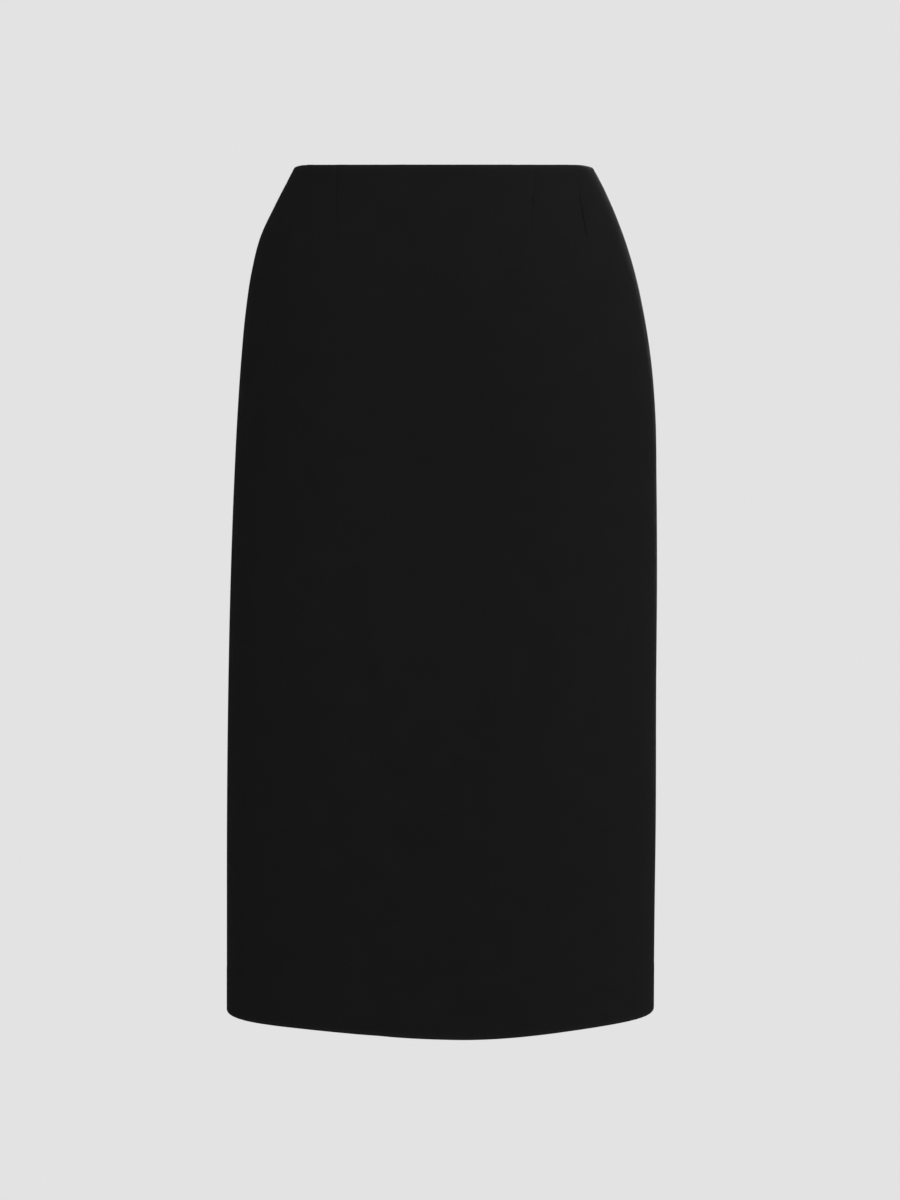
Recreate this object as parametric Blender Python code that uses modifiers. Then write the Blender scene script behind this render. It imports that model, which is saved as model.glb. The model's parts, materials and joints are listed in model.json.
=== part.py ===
"""Pencil skirt in the form it has when worn: three darted panels, a centre back zip and a walking vent.

Metres, +Z up. The origin is the middle of the waist, at the height of its upper edge, and the skirt
hangs below it. The centre front is at -Y and the wearer's left at +X. A place on the cloth is an
angle and a drop: the angle runs round from the centre front towards the wearer's left, so that the
centre back is at pi, and the drop is the distance down from the waist. Distances round the skirt are
arc lengths along the level section at that drop, as a tape measure gives them.
"""

import math
from collections import namedtuple

import bmesh
import bpy
import numpy as np
from mathutils import Euler, Matrix

MM = 0.001
LENGTH = 729 * MM

# Level sections of the outer face in millimetres: half widths to the wearer's left and right, half
# depths to the front and back, and the power of the superellipse (2 is an ellipse, more is squarer).
Section = namedtuple("Section", "drop left right front back squareness")
SECTIONS = (
    Section(0, 125.0, 125.0, 97.0, 97.0, 2.05),
    Section(15, 133.5, 133.0, 101.0, 100.0, 2.05),
    Section(35, 143.0, 143.5, 106.5, 103.5, 2.05),
    Section(60, 153.0, 155.5, 112.0, 108.5, 2.08),
    Section(90, 162.5, 163.5, 116.5, 115.5, 2.10),
    Section(125, 170.5, 169.0, 118.5, 124.0, 2.12),
    Section(165, 177.0, 173.0, 118.0, 131.5, 2.15),
    Section(210, 181.0, 176.5, 116.5, 135.0, 2.15),
    Section(270, 182.5, 180.0, 116.0, 134.5, 2.15),
    Section(350, 183.5, 183.5, 117.0, 131.5, 2.15),
    Section(450, 183.5, 186.5, 119.0, 127.5, 2.12),
    Section(560, 184.0, 188.5, 120.5, 123.5, 2.10),
    Section(660, 183.5, 189.5, 121.5, 120.5, 2.05),
    Section(729, 183.5, 190.0, 122.0, 119.0, 2.05),
)

# Soft folds, each a trough (or a ridge, where the depth is negative) along a line on the cloth.
Fold = namedtuple("Fold", "top_angle top_drop end_angle end_drop half_width depth")
FOLDS = (
    Fold(0, 440, 4, 760, 13, 3.0),         # between the legs, down to the hem
    Fold(-40, 270, -10, 640, 9, 1.8),      # slants in from the wearer's right hip
    Fold(34, 330, 22, 600, 8, -1.2),       # faint ridge down the wearer's left thigh
    Fold(180, 250, 178, 520, 20, 4.0),     # hollow below the seat
    Fold(150, 300, 160, 560, 9, 1.6),      # slants in below the wearer's left seat
    Fold(214, 280, 200, 600, 10, 1.6),     # the same on the wearer's right
)
FOLD_FADE = 1 / 3               # share of a fold's length over which each end fades out

# Waist and hem lines.
SIDE_ANGLE = 90
WAIST_DIP = 2.5 * MM            # the upper edge dips this far at each side
WAIST_DIP_REACH = 24            # degrees to each side of SIDE_ANGLE
# How much lower than LENGTH the hem hangs, in millimetres, as multiples of powers of the angle's sine:
# it slants down to the wearer's right, curves up from the middle, turns down close to each side, and
# drops a little more at the wearer's left side seam.
HemTerm = namedtuple("HemTerm", "power lower")
HEM_LINE = (HemTerm(1, 2.5), HemTerm(2, -4.6), HemTerm(3, -6.5), HemTerm(8, 5.6), HemTerm(20, 1.0),
            HemTerm(21, 1.0))

# Cloth.
CLOTH = 1.6 * MM
DOUBLED = 3.0 * MM              # cloth and its turning
SEAM_GAP = 0.3 * MM
SEAM_ROLL = 0.4 * MM            # a pressed seam's edges roll in by this much
SEAM_ROLL_WIDTH = 3 * MM
SIDE_SEAM_ANGLE = 95            # the side seams lie this far round, a little behind the widest place
WAIST_TURNING = 12 * MM
HEM_TURNING = 40 * MM
TURNING_STEP = 2 * MM           # distance over which a turning's edge steps down to the single cloth

# Darts, as distances in millimetres from the centre front or back to the dart's stitched line at the
# waist and at its point, and to the line that runs on from it where that meets the hem.
Dart = namedtuple("Dart", "waist point hem length")
FRONT_DARTS = (Dart(87, 80, 105, 86), Dart(129, 140, 178, 84))
BACK_DARTS = (Dart(58, 62, 100, 132), Dart(112, 122, 170, 112))
DART_HALF_WIDTH = 2.5 * MM
DART_DEPTH = 0.5 * MM

# Walking vent: the wearer's left back laps over an underlap cut on to the right back.
VENT_HEIGHT = 180 * MM
VENT_WIDTH = 38 * MM
VENT_SLANT = 16 * MM            # the underlap's upper edge slants down by this much
LAP_DEPTH = DOUBLED + 0.5 * MM
LAP_REACH = 12 * MM             # the right back sinks to the lap over this distance
LAP_BEND = 0.6                  # share of LAP_REACH where the grid has a line in the bend

# Centre back zip.
ZIP_END = 196 * MM
TAPE_START = 5 * MM
TAPE_END = 214 * MM
TAPE_WIDTH = 12 * MM
TAPE = 0.6 * MM
ZIP_DEPTH = CLOTH + SEAM_ROLL + 0.5 * MM
ZIP_CLEAR = 15 * MM             # the waist's turning stops this far from the zip
CHAIN_WIDTH = 3.4 * MM
CHAIN = 1.4 * MM
CHAIN_START = 16 * MM
STOP_HEIGHT = 4 * MM
STOP = 1.8 * MM
SLIDER_DROP = 10 * MM
SLIDER_GAP = 2 * MM             # the cloth's edges part this far at the slider's post
SLIDER_GAP_REACH = 4 * MM       # fully so within this distance of it, and not at all past twice that
SLIDER_BODY = (7 * MM, 2.2 * MM, 10 * MM)
SLIDER_ROUND = 0.7 * MM
SLIDER_BODY_DEPTH = ZIP_DEPTH + CHAIN + 0.4 * MM
POST_THICKNESS = 1.2 * MM
POST_HEIGHT = 5 * MM
SHOULDER_HEIGHT = 0.2 * MM      # of the post, off the cloth
LUG_RADIUS = 1.3 * MM
LUG_HOLE_RADIUS = 0.8 * MM
PIVOT_HEIGHT = 1.75 * MM        # of the pull's pin, off the cloth
PIN_RADIUS = 0.45 * MM
CHEEK_WIDTH = 3.8 * MM
CHEEK_GAP = 0.35 * MM           # between the lug and each cheek
PULL_THICKNESS = 1.2 * MM
PULL_LENGTH = 20 * MM
PULL_WIDTH = 5 * MM

# The grid that the cloth is built on: its rows, as drops in millimetres, with one at each edge of a
# turning and at the vent's top, and the number of cells between one marked line and the next, from
# the centre to the side seam.
ROWS = (0, 3, 7, 12, 14, 24, 35, 48, 62, 76, 90, 108, 130, 155, 182, 210, 242, 276, 312, 350, 390,
        430, 470, 508, 537, 549, 573, 601, 630, 660, 687, 689, 709, 729)
FRONT_CELLS = (5, 1, 1, 2, 1, 1, 6, 1)
BACK_CELLS = (1, 1, 1, 1, 2, 1, 1, 1, 1, 3, 1, 1, 5, 1)
UNDERLAP_CELLS = 4
STRIP_STEP = 12 * MM            # from one row of a zip strip to the next
ARC_SAMPLES = 721
ARC_SPAN = math.radians(125)
SLOPE_STEP = 1e-4
ROUND_SIDES = 24
WELD = 0.01 * MM

Finish = namedtuple("Finish", "colour roughness metallic")
BLACK_CLOTH = Finish((0.0075, 0.0074, 0.0078), 0.9, 0.0)
TAPE_FINISH = Finish((0.010, 0.010, 0.011), 0.85, 0.0)
NYLON = Finish((0.012, 0.012, 0.013), 0.45, 0.0)
BLACK_METAL = Finish((0.016, 0.016, 0.018), 0.35, 0.9)


def smooth_step(value):
    """0 below 0, 1 above 1, and a soft S between them."""
    value = np.clip(value, 0.0, 1.0)
    return value * value * (3 - 2 * value)


def section_value(name, drop):
    """A smooth curve through one column of SECTIONS: a cubic Hermite whose slope at each row is the
    mean of the slopes to its neighbours, each weighted by the other's distance."""
    rows = np.array([section.drop for section in SECTIONS]) * MM
    values = np.array([getattr(section, name) for section in SECTIONS], dtype=float)
    gaps = np.diff(rows)
    rises = np.diff(values) / gaps
    slopes = np.empty_like(values)
    slopes[1:-1] = (rises[:-1] * gaps[1:] + rises[1:] * gaps[:-1]) / (gaps[1:] + gaps[:-1])
    slopes[0] = rises[0] + (rises[0] - slopes[1]) / 2
    slopes[-1] = rises[-1] + (rises[-1] - slopes[-2]) / 2
    row = np.clip(np.searchsorted(rows, drop, side="right") - 1, 0, len(gaps) - 1)
    part = (drop - rows[row]) / gaps[row]
    return ((2 * part**3 - 3 * part**2 + 1) * values[row]
            + (part**3 - 2 * part**2 + part) * gaps[row] * slopes[row]
            + (3 * part**2 - 2 * part**3) * values[row + 1]
            + (part**3 - part**2) * gaps[row] * slopes[row + 1])


def fold_depth(angle, drop):
    """How far the folds sink the cloth: each is a cosine bell across its line, and fades at its ends."""
    total = np.zeros(np.broadcast(angle, drop).shape)
    for fold in FOLDS:
        along = (drop / MM - fold.top_drop) / (fold.end_drop - fold.top_drop)
        line = np.radians(fold.top_angle + (fold.end_angle - fold.top_angle) * along)
        away = (angle - line + math.pi) % (2 * math.pi) - math.pi
        across = np.clip(np.abs(away) / math.radians(fold.half_width), 0, 1)
        ends = smooth_step(along / FOLD_FADE) * smooth_step((1 - along) / FOLD_FADE)
        total += fold.depth * MM * (1 + np.cos(math.pi * across)) / 2 * ends
    return total


def outer_face(angle, drop):
    """The outer face: a superellipse with a half axis for each quarter, less the folds."""
    sine, cosine = np.sin(angle), np.cos(angle)
    wide = np.where(sine >= 0, section_value("left", drop), section_value("right", drop)) * MM
    deep = np.where(cosine >= 0, section_value("front", drop), section_value("back", drop)) * MM
    power = section_value("squareness", drop)
    radius = (np.abs(sine / wide)**power + np.abs(cosine / deep)**power)**(-1 / power)
    radius = radius - fold_depth(angle, drop)
    return np.stack([radius * sine, -radius * cosine, -drop * np.ones_like(radius)], axis=-1)


def face_normal(angle, drop):
    """The unit normal of the outer face, from its slopes down and across."""
    down = outer_face(angle, drop + SLOPE_STEP) - outer_face(angle, drop - SLOPE_STEP)
    across = outer_face(angle + SLOPE_STEP, drop) - outer_face(angle - SLOPE_STEP, drop)
    normal = np.cross(down, across)
    return normal / np.linalg.norm(normal, axis=-1, keepdims=True)


def cloth_points(angle, drop, depth):
    """Points at a depth below the outer face."""
    depth = np.broadcast_to(depth, np.shape(angle))
    return outer_face(angle, drop) - depth[..., None] * face_normal(angle, drop)


def angle_at(centre, arc, drops):
    """The angle at each signed arc length from the centre line, for one drop a row."""
    samples = np.linspace(centre - ARC_SPAN, centre + ARC_SPAN, ARC_SAMPLES)
    angles = np.empty_like(arc)
    for row, drop in enumerate(drops):
        points = outer_face(samples, np.full(ARC_SAMPLES, drop))
        steps = np.linalg.norm(np.diff(points, axis=0), axis=1)
        lengths = np.concatenate([[0.0], np.cumsum(steps)])
        lengths -= np.interp(centre, samples, lengths)
        angles[row] = np.interp(arc[row], lengths, samples)
    return angles


def arc_to_side_seam(centre, side, drops):
    """Arc length from the centre front or back to the side seam on one side, for each drop."""
    seam = math.radians(SIDE_SEAM_ANGLE if centre == 0 else 180 - SIDE_SEAM_ANGLE)
    arcs = np.empty(len(drops))
    for row, drop in enumerate(drops):
        samples = centre + side * np.linspace(0, seam, ARC_SAMPLES)
        points = outer_face(samples, np.full(ARC_SAMPLES, drop))
        arcs[row] = np.linalg.norm(np.diff(points, axis=0), axis=1).sum()
    return arcs


def hung_drop(angle, level):
    """The drop of a row of the cloth: rows near the waist follow its dips at the sides, and rows
    near the hem follow the hem's line."""
    from_side = np.abs(np.abs((angle + math.pi) % (2 * math.pi) - math.pi) - math.radians(SIDE_ANGLE))
    dip = WAIST_DIP * (1 - smooth_step(from_side / math.radians(WAIST_DIP_REACH)))
    hem = sum(term.lower * MM * np.sin(angle)**term.power for term in HEM_LINE)
    return level + dip * (1 - level / LENGTH) + hem * level / LENGTH


def spread(anchors, cells):
    """Columns of a grid: the anchors with their intervals divided evenly into cells."""
    start = np.repeat(np.arange(len(cells)), cells)
    part = np.concatenate([np.arange(count) / count for count in cells])
    columns = anchors[:, start] + (anchors[:, start + 1] - anchors[:, start]) * part
    return np.concatenate([columns, anchors[:, -1:]], axis=1)


def dart_lines(darts, levels):
    """For each dart, three columns: its stitched line and the cloth's edge to each side of it."""
    columns = []
    for dart in darts:
        line = np.interp(levels / MM, (0, dart.length, LENGTH / MM), (dart.waist, dart.point, dart.hem))
        columns += [line * MM - DART_HALF_WIDTH, line * MM, line * MM + DART_HALF_WIDTH]
    return columns


def dart_depth(darts, arc, levels):
    """A V-shaped groove along each dart, shallower towards its point."""
    depth = np.zeros_like(arc)
    for dart, line in zip(darts, dart_lines(darts, levels)[1::3]):
        fade = np.clip(1 - levels / (dart.length * MM), 0, 1)[:, None]
        away = np.abs(np.abs(arc) - line[:, None]) / DART_HALF_WIDTH
        depth += DART_DEPTH * np.sqrt(fade) * np.clip(1 - away, 0, 1)
    return depth


def seam_roll(distance):
    """Depth to which the cloth rolls in at a distance from a seam's edge."""
    return SEAM_ROLL * (1 - np.clip(distance / SEAM_ROLL_WIDTH, 0, 1))


def turning(inside):
    """Thickness of the cloth from a signed distance inside the edge of a turning."""
    return CLOTH + (DOUBLED - CLOTH) * np.clip(inside / TURNING_STEP + 1, 0, 1)


def finish_material(name, finish):
    """A Principled material of one finish."""
    material = bpy.data.materials.new(name)
    material.use_nodes = True
    shader = material.node_tree.nodes["Principled BSDF"]
    shader.inputs["Base Color"].default_value = (*finish.colour, 1.0)
    shader.inputs["Roughness"].default_value = finish.roughness
    shader.inputs["Metallic"].default_value = finish.metallic
    material.diffuse_color = (*finish.colour, 1.0)
    return material


def add_sheet(name, points, thickness, finish, collection, present=None):
    """A sheet of cloth: an open surface through a grid of points, thickened inwards by Solidify.

    The thickness is one number, or one for each point. A cell that isn't present is left out.
    """
    rows, columns = points.shape[:2]
    if present is None:
        present = np.ones((rows - 1, columns - 1), dtype=bool)
    number = np.arange(rows * columns).reshape(rows, columns)
    corners = (number[:-1, :-1], number[1:, :-1], number[1:, 1:], number[:-1, 1:])
    faces = np.stack([corner[present] for corner in corners], axis=1)
    used, faces = np.unique(faces, return_inverse=True)
    faces = faces.reshape(-1, len(corners))
    mesh = bpy.data.meshes.new(name)
    mesh.from_pydata(points.reshape(-1, 3)[used].tolist(), [], faces.tolist())
    mesh.shade_smooth()
    mesh.materials.append(finish_material(name, finish))
    sheet = bpy.data.objects.new(name, mesh)
    collection.objects.link(sheet)

    thickest = float(np.max(thickness))
    weights = (np.broadcast_to(thickness, (rows, columns)) / thickest).ravel()[used]
    group = sheet.vertex_groups.new(name="thickness")
    for vertex, weight in enumerate(weights):
        group.add([vertex], float(weight), "REPLACE")
    solidify = sheet.modifiers.new("Solidify", "SOLIDIFY")
    solidify.thickness = thickest
    solidify.offset = -1
    solidify.vertex_group = group.name
    return sheet


def add_front(collection):
    """The front: both halves from the fold at the centre, with two darts in each."""
    levels = np.array(ROWS) * MM
    halves = []
    for side in (-1, 1):
        seam = arc_to_side_seam(0.0, side, levels) - SEAM_GAP / 2
        anchors = [np.zeros_like(levels), *dart_lines(FRONT_DARTS, levels), seam - SEAM_ROLL_WIDTH, seam]
        halves.append(side * spread(np.stack(anchors, axis=1), FRONT_CELLS))
    arc = np.concatenate([halves[0][:, :0:-1], halves[1]], axis=1)
    angle = angle_at(0.0, arc, levels)
    edge = np.minimum(arc - arc[:, :1], arc[:, -1:] - arc)
    depth = dart_depth(FRONT_DARTS, arc, levels) + seam_roll(edge)
    level = np.broadcast_to(levels[:, None], arc.shape)
    points = cloth_points(angle, hung_drop(angle, level), depth)
    inside = np.maximum(WAIST_TURNING - level, level - (LENGTH - HEM_TURNING))
    add_sheet("front_panel", points, turning(inside), BLACK_CLOTH, collection)


def half_opening(levels):
    """Half the gap between the two backs: a seam's, wider where the zip's slider stands."""
    from_slider = np.abs(levels - SLIDER_DROP)
    wide = np.clip(2 - from_slider / SLIDER_GAP_REACH, 0, 1)
    return (SEAM_GAP + (SLIDER_GAP - SEAM_GAP) * wide) / 2


def back_anchors(side, levels):
    """Marked lines of one back, as distances from the centre back."""
    seam = arc_to_side_seam(math.pi, side, levels) - SEAM_GAP / 2
    fixed = (SEAM_ROLL_WIDTH, LAP_REACH * LAP_BEND, LAP_REACH, ZIP_CLEAR, VENT_WIDTH, VENT_WIDTH + TURNING_STEP)
    lines = [half_opening(levels), *(np.full_like(levels, place) for place in fixed)]
    lines += [*dart_lines(BACK_DARTS, levels), seam - SEAM_ROLL_WIDTH, seam]
    return np.stack(lines, axis=1)


def back_thickness(distance, level, vent_facing):
    """Double at the waist's turning, clear of the zip, at the hem and down the vent's facing."""
    waist = np.minimum(WAIST_TURNING - level, distance - ZIP_CLEAR)
    inside = np.maximum(waist, level - (LENGTH - HEM_TURNING))
    if vent_facing:
        vent = np.minimum(VENT_WIDTH - distance, level - (LENGTH - VENT_HEIGHT))
        inside = np.maximum(inside, vent)
    return turning(inside)


def add_left_back(collection):
    """The wearer's left back, whose folded edge is the vent's outer edge."""
    levels = np.array(ROWS) * MM
    distance = spread(back_anchors(-1, levels), BACK_CELLS)[:, ::-1]
    angle = angle_at(math.pi, -distance, levels)
    level = np.broadcast_to(levels[:, None], angle.shape)
    depth = dart_depth(BACK_DARTS, distance, levels) + seam_roll(distance[:, :1] - distance)
    depth += seam_roll(distance - distance[:, -1:])
    points = cloth_points(angle, hung_drop(angle, level), depth)
    thickness = back_thickness(distance, level, vent_facing=True)
    add_sheet("back_left_panel", points, thickness, BLACK_CLOTH, collection)


def add_right_back(collection):
    """The wearer's right back, which carries the underlap below the top of the vent."""
    levels = np.array(ROWS) * MM
    vent_top = LENGTH - VENT_HEIGHT
    panel = spread(back_anchors(1, levels), BACK_CELLS)
    lap_edge = np.full_like(levels, -VENT_WIDTH)
    lap = spread(np.stack([lap_edge, panel[:, 0]], axis=1), (UNDERLAP_CELLS,))[:, :-1]
    distance = np.concatenate([lap, panel], axis=1)
    angle = angle_at(math.pi, distance, levels)

    # Below the vent's top the rows of the underlap fan out from its slanting upper edge.
    level = np.broadcast_to(levels[:, None], angle.shape)
    slant = VENT_SLANT * np.clip(-distance / VENT_WIDTH, 0, 1)
    level = level + slant * np.clip((LENGTH - level) / VENT_HEIGHT, 0, 1)

    sunk = smooth_step(1 - distance / LAP_REACH) * smooth_step((level - vent_top) / LAP_REACH + 1)
    roll = seam_roll(np.abs(distance - panel[:, :1])) * (level < vent_top)
    depth = LAP_DEPTH * sunk + roll + seam_roll(distance[:, -1:] - distance)
    depth += dart_depth(BACK_DARTS, np.maximum(distance, 0), levels)
    points = cloth_points(angle, hung_drop(angle, level), depth)

    cell_row = levels[:-1] >= vent_top - MM / 2
    cell_column = np.arange(distance.shape[1] - 1) >= UNDERLAP_CELLS
    present = cell_row[:, None] | cell_column[None, :]
    thickness = back_thickness(np.maximum(distance, 0), level, vent_facing=False)
    add_sheet("back_right_panel", points, thickness, BLACK_CLOTH, collection, present)


def add_zip_strip(name, near, far, start, end, thickness, finish, collection):
    """A strip down the inside of the centre back, between two signed distances from it."""
    levels = np.linspace(start, end, max(2, 1 + round((end - start) / STRIP_STEP)))
    arc = np.broadcast_to(np.array([near, (near + far) / 2, far]), (len(levels), 3)).copy()
    angle = angle_at(math.pi, arc, levels)
    points = cloth_points(angle, np.broadcast_to(levels[:, None], angle.shape), ZIP_DEPTH)
    return add_sheet(name, points, thickness, finish, collection)


def add_zip(collection):
    """Both tapes, the closed chain between them and the stop at its foot."""
    chain_edge = CHAIN_WIDTH / 2
    near = chain_edge + SEAM_GAP
    far = near + TAPE_WIDTH
    add_zip_strip("zip_tape_left", -far, -near, TAPE_START, TAPE_END, TAPE, TAPE_FINISH, collection)
    add_zip_strip("zip_tape_right", near, far, TAPE_START, TAPE_END, TAPE, TAPE_FINISH, collection)
    add_zip_strip("zip_chain", -chain_edge, chain_edge, CHAIN_START, ZIP_END, CHAIN, NYLON, collection)
    stop_top = ZIP_END + SEAM_GAP
    add_zip_strip("zip_stop", -chain_edge, chain_edge, stop_top, stop_top + STOP_HEIGHT, STOP,
                  BLACK_METAL, collection)


def slider_frame():
    """Where the slider's post leaves the cloth, and how far the cloth leans back there. A piece with
    that lean about X has its Y axis out of the cloth and its Z axis up along it."""
    angle, drop = np.array([math.pi]), np.array([SLIDER_DROP])
    normal = face_normal(angle, drop)[0]
    return outer_face(angle, drop)[0], math.atan2(normal[2], normal[1])


def leaning(lean, outward, up):
    """World offset of a place given out of the cloth and up along it at the slider."""
    return np.array([0.0,
                     outward * math.cos(lean) - up * math.sin(lean),
                     outward * math.sin(lean) + up * math.cos(lean)])


def place(piece, location, lean):
    """Put a piece where the slider's frame says."""
    piece.location = location
    piece.rotation_euler = (lean, 0, 0)


def add_box(name, size, collection):
    """A box of a size, centred on its origin."""
    bpy.ops.mesh.primitive_cube_add(size=1)
    box = bpy.context.object
    box.name = name
    box.data.transform(Matrix.Diagonal((*size, 1.0)))
    move_to(box, collection)
    return box


def add_rod(name, radius, length, collection):
    """A rod along X, centred on its origin."""
    bpy.ops.mesh.primitive_cylinder_add(vertices=ROUND_SIDES, radius=radius, depth=length)
    rod = bpy.context.object
    rod.name = name
    rod.data.transform(Matrix.Rotation(math.pi / 2, 4, "Y"))
    move_to(rod, collection)
    return rod


def move_to(piece, collection):
    """Keep a piece in one collection only."""
    for holder in piece.users_collection:
        holder.objects.unlink(piece)
    collection.objects.link(piece)


def add_plate(name, outline, thickness, turn, collection):
    """A flat outline with a thickness, made as a filled curve, welded, and turned into its plane."""
    curve = bpy.data.curves.new(name, "CURVE")
    curve.dimensions = "2D"
    curve.fill_mode = "BOTH"
    curve.extrude = thickness / 2
    spline = curve.splines.new("POLY")
    spline.points.add(len(outline) - 1)
    for point, (across, up) in zip(spline.points, outline):
        point.co = (across, up, 0, 1)
    spline.use_cyclic_u = True
    guide = bpy.data.objects.new(name + "_guide", curve)
    collection.objects.link(guide)
    evaluated = guide.evaluated_get(bpy.context.evaluated_depsgraph_get())
    mesh = bpy.data.meshes.new_from_object(evaluated)
    bpy.data.objects.remove(guide)
    shape = bmesh.new()
    shape.from_mesh(mesh)
    bmesh.ops.remove_doubles(shape, verts=shape.verts, dist=WELD)
    bmesh.ops.recalc_face_normals(shape, faces=shape.faces)
    shape.to_mesh(mesh)
    shape.free()
    mesh.transform(Euler(turn).to_matrix().to_4x4())
    plate = bpy.data.objects.new(name, mesh)
    collection.objects.link(plate)
    return plate


def cut_or_join(piece, other, operation):
    """A Boolean on a piece; the other object is a hidden guide."""
    modifier = piece.modifiers.new(other.name, "BOOLEAN")
    modifier.operation = operation
    modifier.solver = "EXACT"
    modifier.object = other
    other.hide_render = True
    other.display_type = "WIRE"


def arc_points(centre, radius, start, end, count):
    """Points along an arc, from one angle in degrees to another."""
    angles = np.radians(np.linspace(start, end, count))
    return [(centre[0] + radius * math.cos(a), centre[1] + radius * math.sin(a)) for a in angles]


def add_slider(collection, guides):
    """The slider: a body inside the zip, a post between the cloth's edges and a lug outside."""
    origin, lean = slider_frame()
    inner_end = -(SLIDER_BODY_DEPTH + SLIDER_BODY[1] / 2)
    half = POST_HEIGHT / 2
    outline = [(inner_end, -half), (SHOULDER_HEIGHT, -half), (SHOULDER_HEIGHT, -LUG_RADIUS)]
    outline += arc_points((PIVOT_HEIGHT, 0), LUG_RADIUS, -90, 90, ROUND_SIDES // 2)
    outline += [(SHOULDER_HEIGHT, LUG_RADIUS), (SHOULDER_HEIGHT, half), (inner_end, half)]
    slider = add_plate("zip_slider", outline, POST_THICKNESS, (math.pi / 2, 0, math.pi / 2), collection)
    place(slider, origin, lean)
    slider.data.materials.append(finish_material("zip_slider", BLACK_METAL))

    body = add_box("zip_slider_body", SLIDER_BODY, guides)
    place(body, origin + leaning(lean, inner_end, 0), lean)
    bevel = body.modifiers.new("Bevel", "BEVEL")
    bevel.width = SLIDER_ROUND
    bevel.segments = 2
    cut_or_join(slider, body, "UNION")

    hole = add_rod("zip_slider_hole", LUG_HOLE_RADIUS, POST_THICKNESS * 2, guides)
    place(hole, origin + leaning(lean, PIVOT_HEIGHT, 0), lean)
    cut_or_join(slider, hole, "DIFFERENCE")


def add_pull(collection, guides):
    """The pull tab: a drop-shaped plate whose two cheeks carry a pin through the slider's lug."""
    origin, lean = slider_frame()
    pivot = origin + leaning(lean, PIVOT_HEIGHT, 0)
    foot_radius = PULL_WIDTH / 2
    neck = CHEEK_WIDTH / 2
    outline = [(-neck, 0), (-neck, -neck)]
    outline += arc_points((0, foot_radius - PULL_LENGTH), foot_radius, 180, 360, ROUND_SIDES // 2 + 1)
    outline += [(neck, -neck), (neck, 0)]
    pull = add_plate("zip_pull", outline, PULL_THICKNESS, (math.pi / 2, 0, 0), collection)
    place(pull, pivot, lean)
    pull.data.materials.append(finish_material("zip_pull", BLACK_METAL))

    barrel = add_rod("zip_pull_barrel", LUG_RADIUS, CHEEK_WIDTH, guides)
    slot_width = POST_THICKNESS + 2 * CHEEK_GAP
    slot_depth = 2 * (LUG_RADIUS + CHEEK_GAP)
    slot = add_box("zip_pull_slot", (slot_width, slot_depth, slot_depth), guides)
    pin = add_rod("zip_pull_pin", PIN_RADIUS, (CHEEK_WIDTH + slot_width) / 2, guides)
    for guide, operation in ((barrel, "UNION"), (slot, "DIFFERENCE"), (pin, "UNION")):
        place(guide, pivot, lean)
        cut_or_join(pull, guide, operation)


def main():
    for thing in list(bpy.data.objects):
        bpy.data.objects.remove(thing)
    skirt = bpy.data.collections.new("Pencil skirt")
    guides = bpy.data.collections.new("Cutters")
    bpy.context.scene.collection.children.link(skirt)
    bpy.context.scene.collection.children.link(guides)
    add_front(skirt)
    add_left_back(skirt)
    add_right_back(skirt)
    add_zip(skirt)
    add_slider(skirt, guides)
    add_pull(skirt, guides)


main()
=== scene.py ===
"""Pencil skirt, dressed: cloth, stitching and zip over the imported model, in a small pale studio.

Metres, +Z up. The origin is the middle of the waist, at the height of its upper edge, the centre front is
at -Y and the wearer's left at +X. A place on the cloth is an arc length round from the centre front or
back, positive towards +X at the front and towards -X at the back, a level down from the waist as cut,
and a depth below the outer face.
"""

import json
import math
from collections import namedtuple
from functools import lru_cache

import bpy
import numpy as np
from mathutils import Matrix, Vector


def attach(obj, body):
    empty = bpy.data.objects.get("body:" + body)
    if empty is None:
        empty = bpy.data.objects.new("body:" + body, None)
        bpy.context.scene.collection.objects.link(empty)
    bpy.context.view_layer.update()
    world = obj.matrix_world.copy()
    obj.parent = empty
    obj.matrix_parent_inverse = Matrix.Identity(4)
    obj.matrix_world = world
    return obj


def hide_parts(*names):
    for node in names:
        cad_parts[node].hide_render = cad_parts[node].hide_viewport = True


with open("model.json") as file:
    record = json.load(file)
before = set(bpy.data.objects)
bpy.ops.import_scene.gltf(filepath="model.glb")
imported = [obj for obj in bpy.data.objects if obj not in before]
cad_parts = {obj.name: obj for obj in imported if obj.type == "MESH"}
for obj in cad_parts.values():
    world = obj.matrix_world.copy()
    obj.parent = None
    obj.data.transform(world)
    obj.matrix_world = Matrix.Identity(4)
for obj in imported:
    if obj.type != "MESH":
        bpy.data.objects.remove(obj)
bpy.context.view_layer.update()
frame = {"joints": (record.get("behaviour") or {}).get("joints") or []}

bl_info = {
    "name": "Pencil skirt",
    "version": (1, 0, 0),
    "blender": (4, 5, 0),
    "location": "3D view > Sidebar > Skirt",
    "description": "Cloth, stitching and zip of a pencil skirt, and a studio to show it in",
    "category": "Object",
}

MM = 0.001
LENGTH = 729 * MM
SKIRT_BODY, PULL_BODY = "skirt", "pull"

# Panels, the angle of each one's centre line, and the sides on which it has a side seam.
FRONT, LEFT, RIGHT = "front", "left", "right"
CENTRES = {FRONT: 0.0, LEFT: math.pi, RIGHT: math.pi}
SIDES = {FRONT: (-1, 1), LEFT: (-1,), RIGHT: (1,)}

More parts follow.
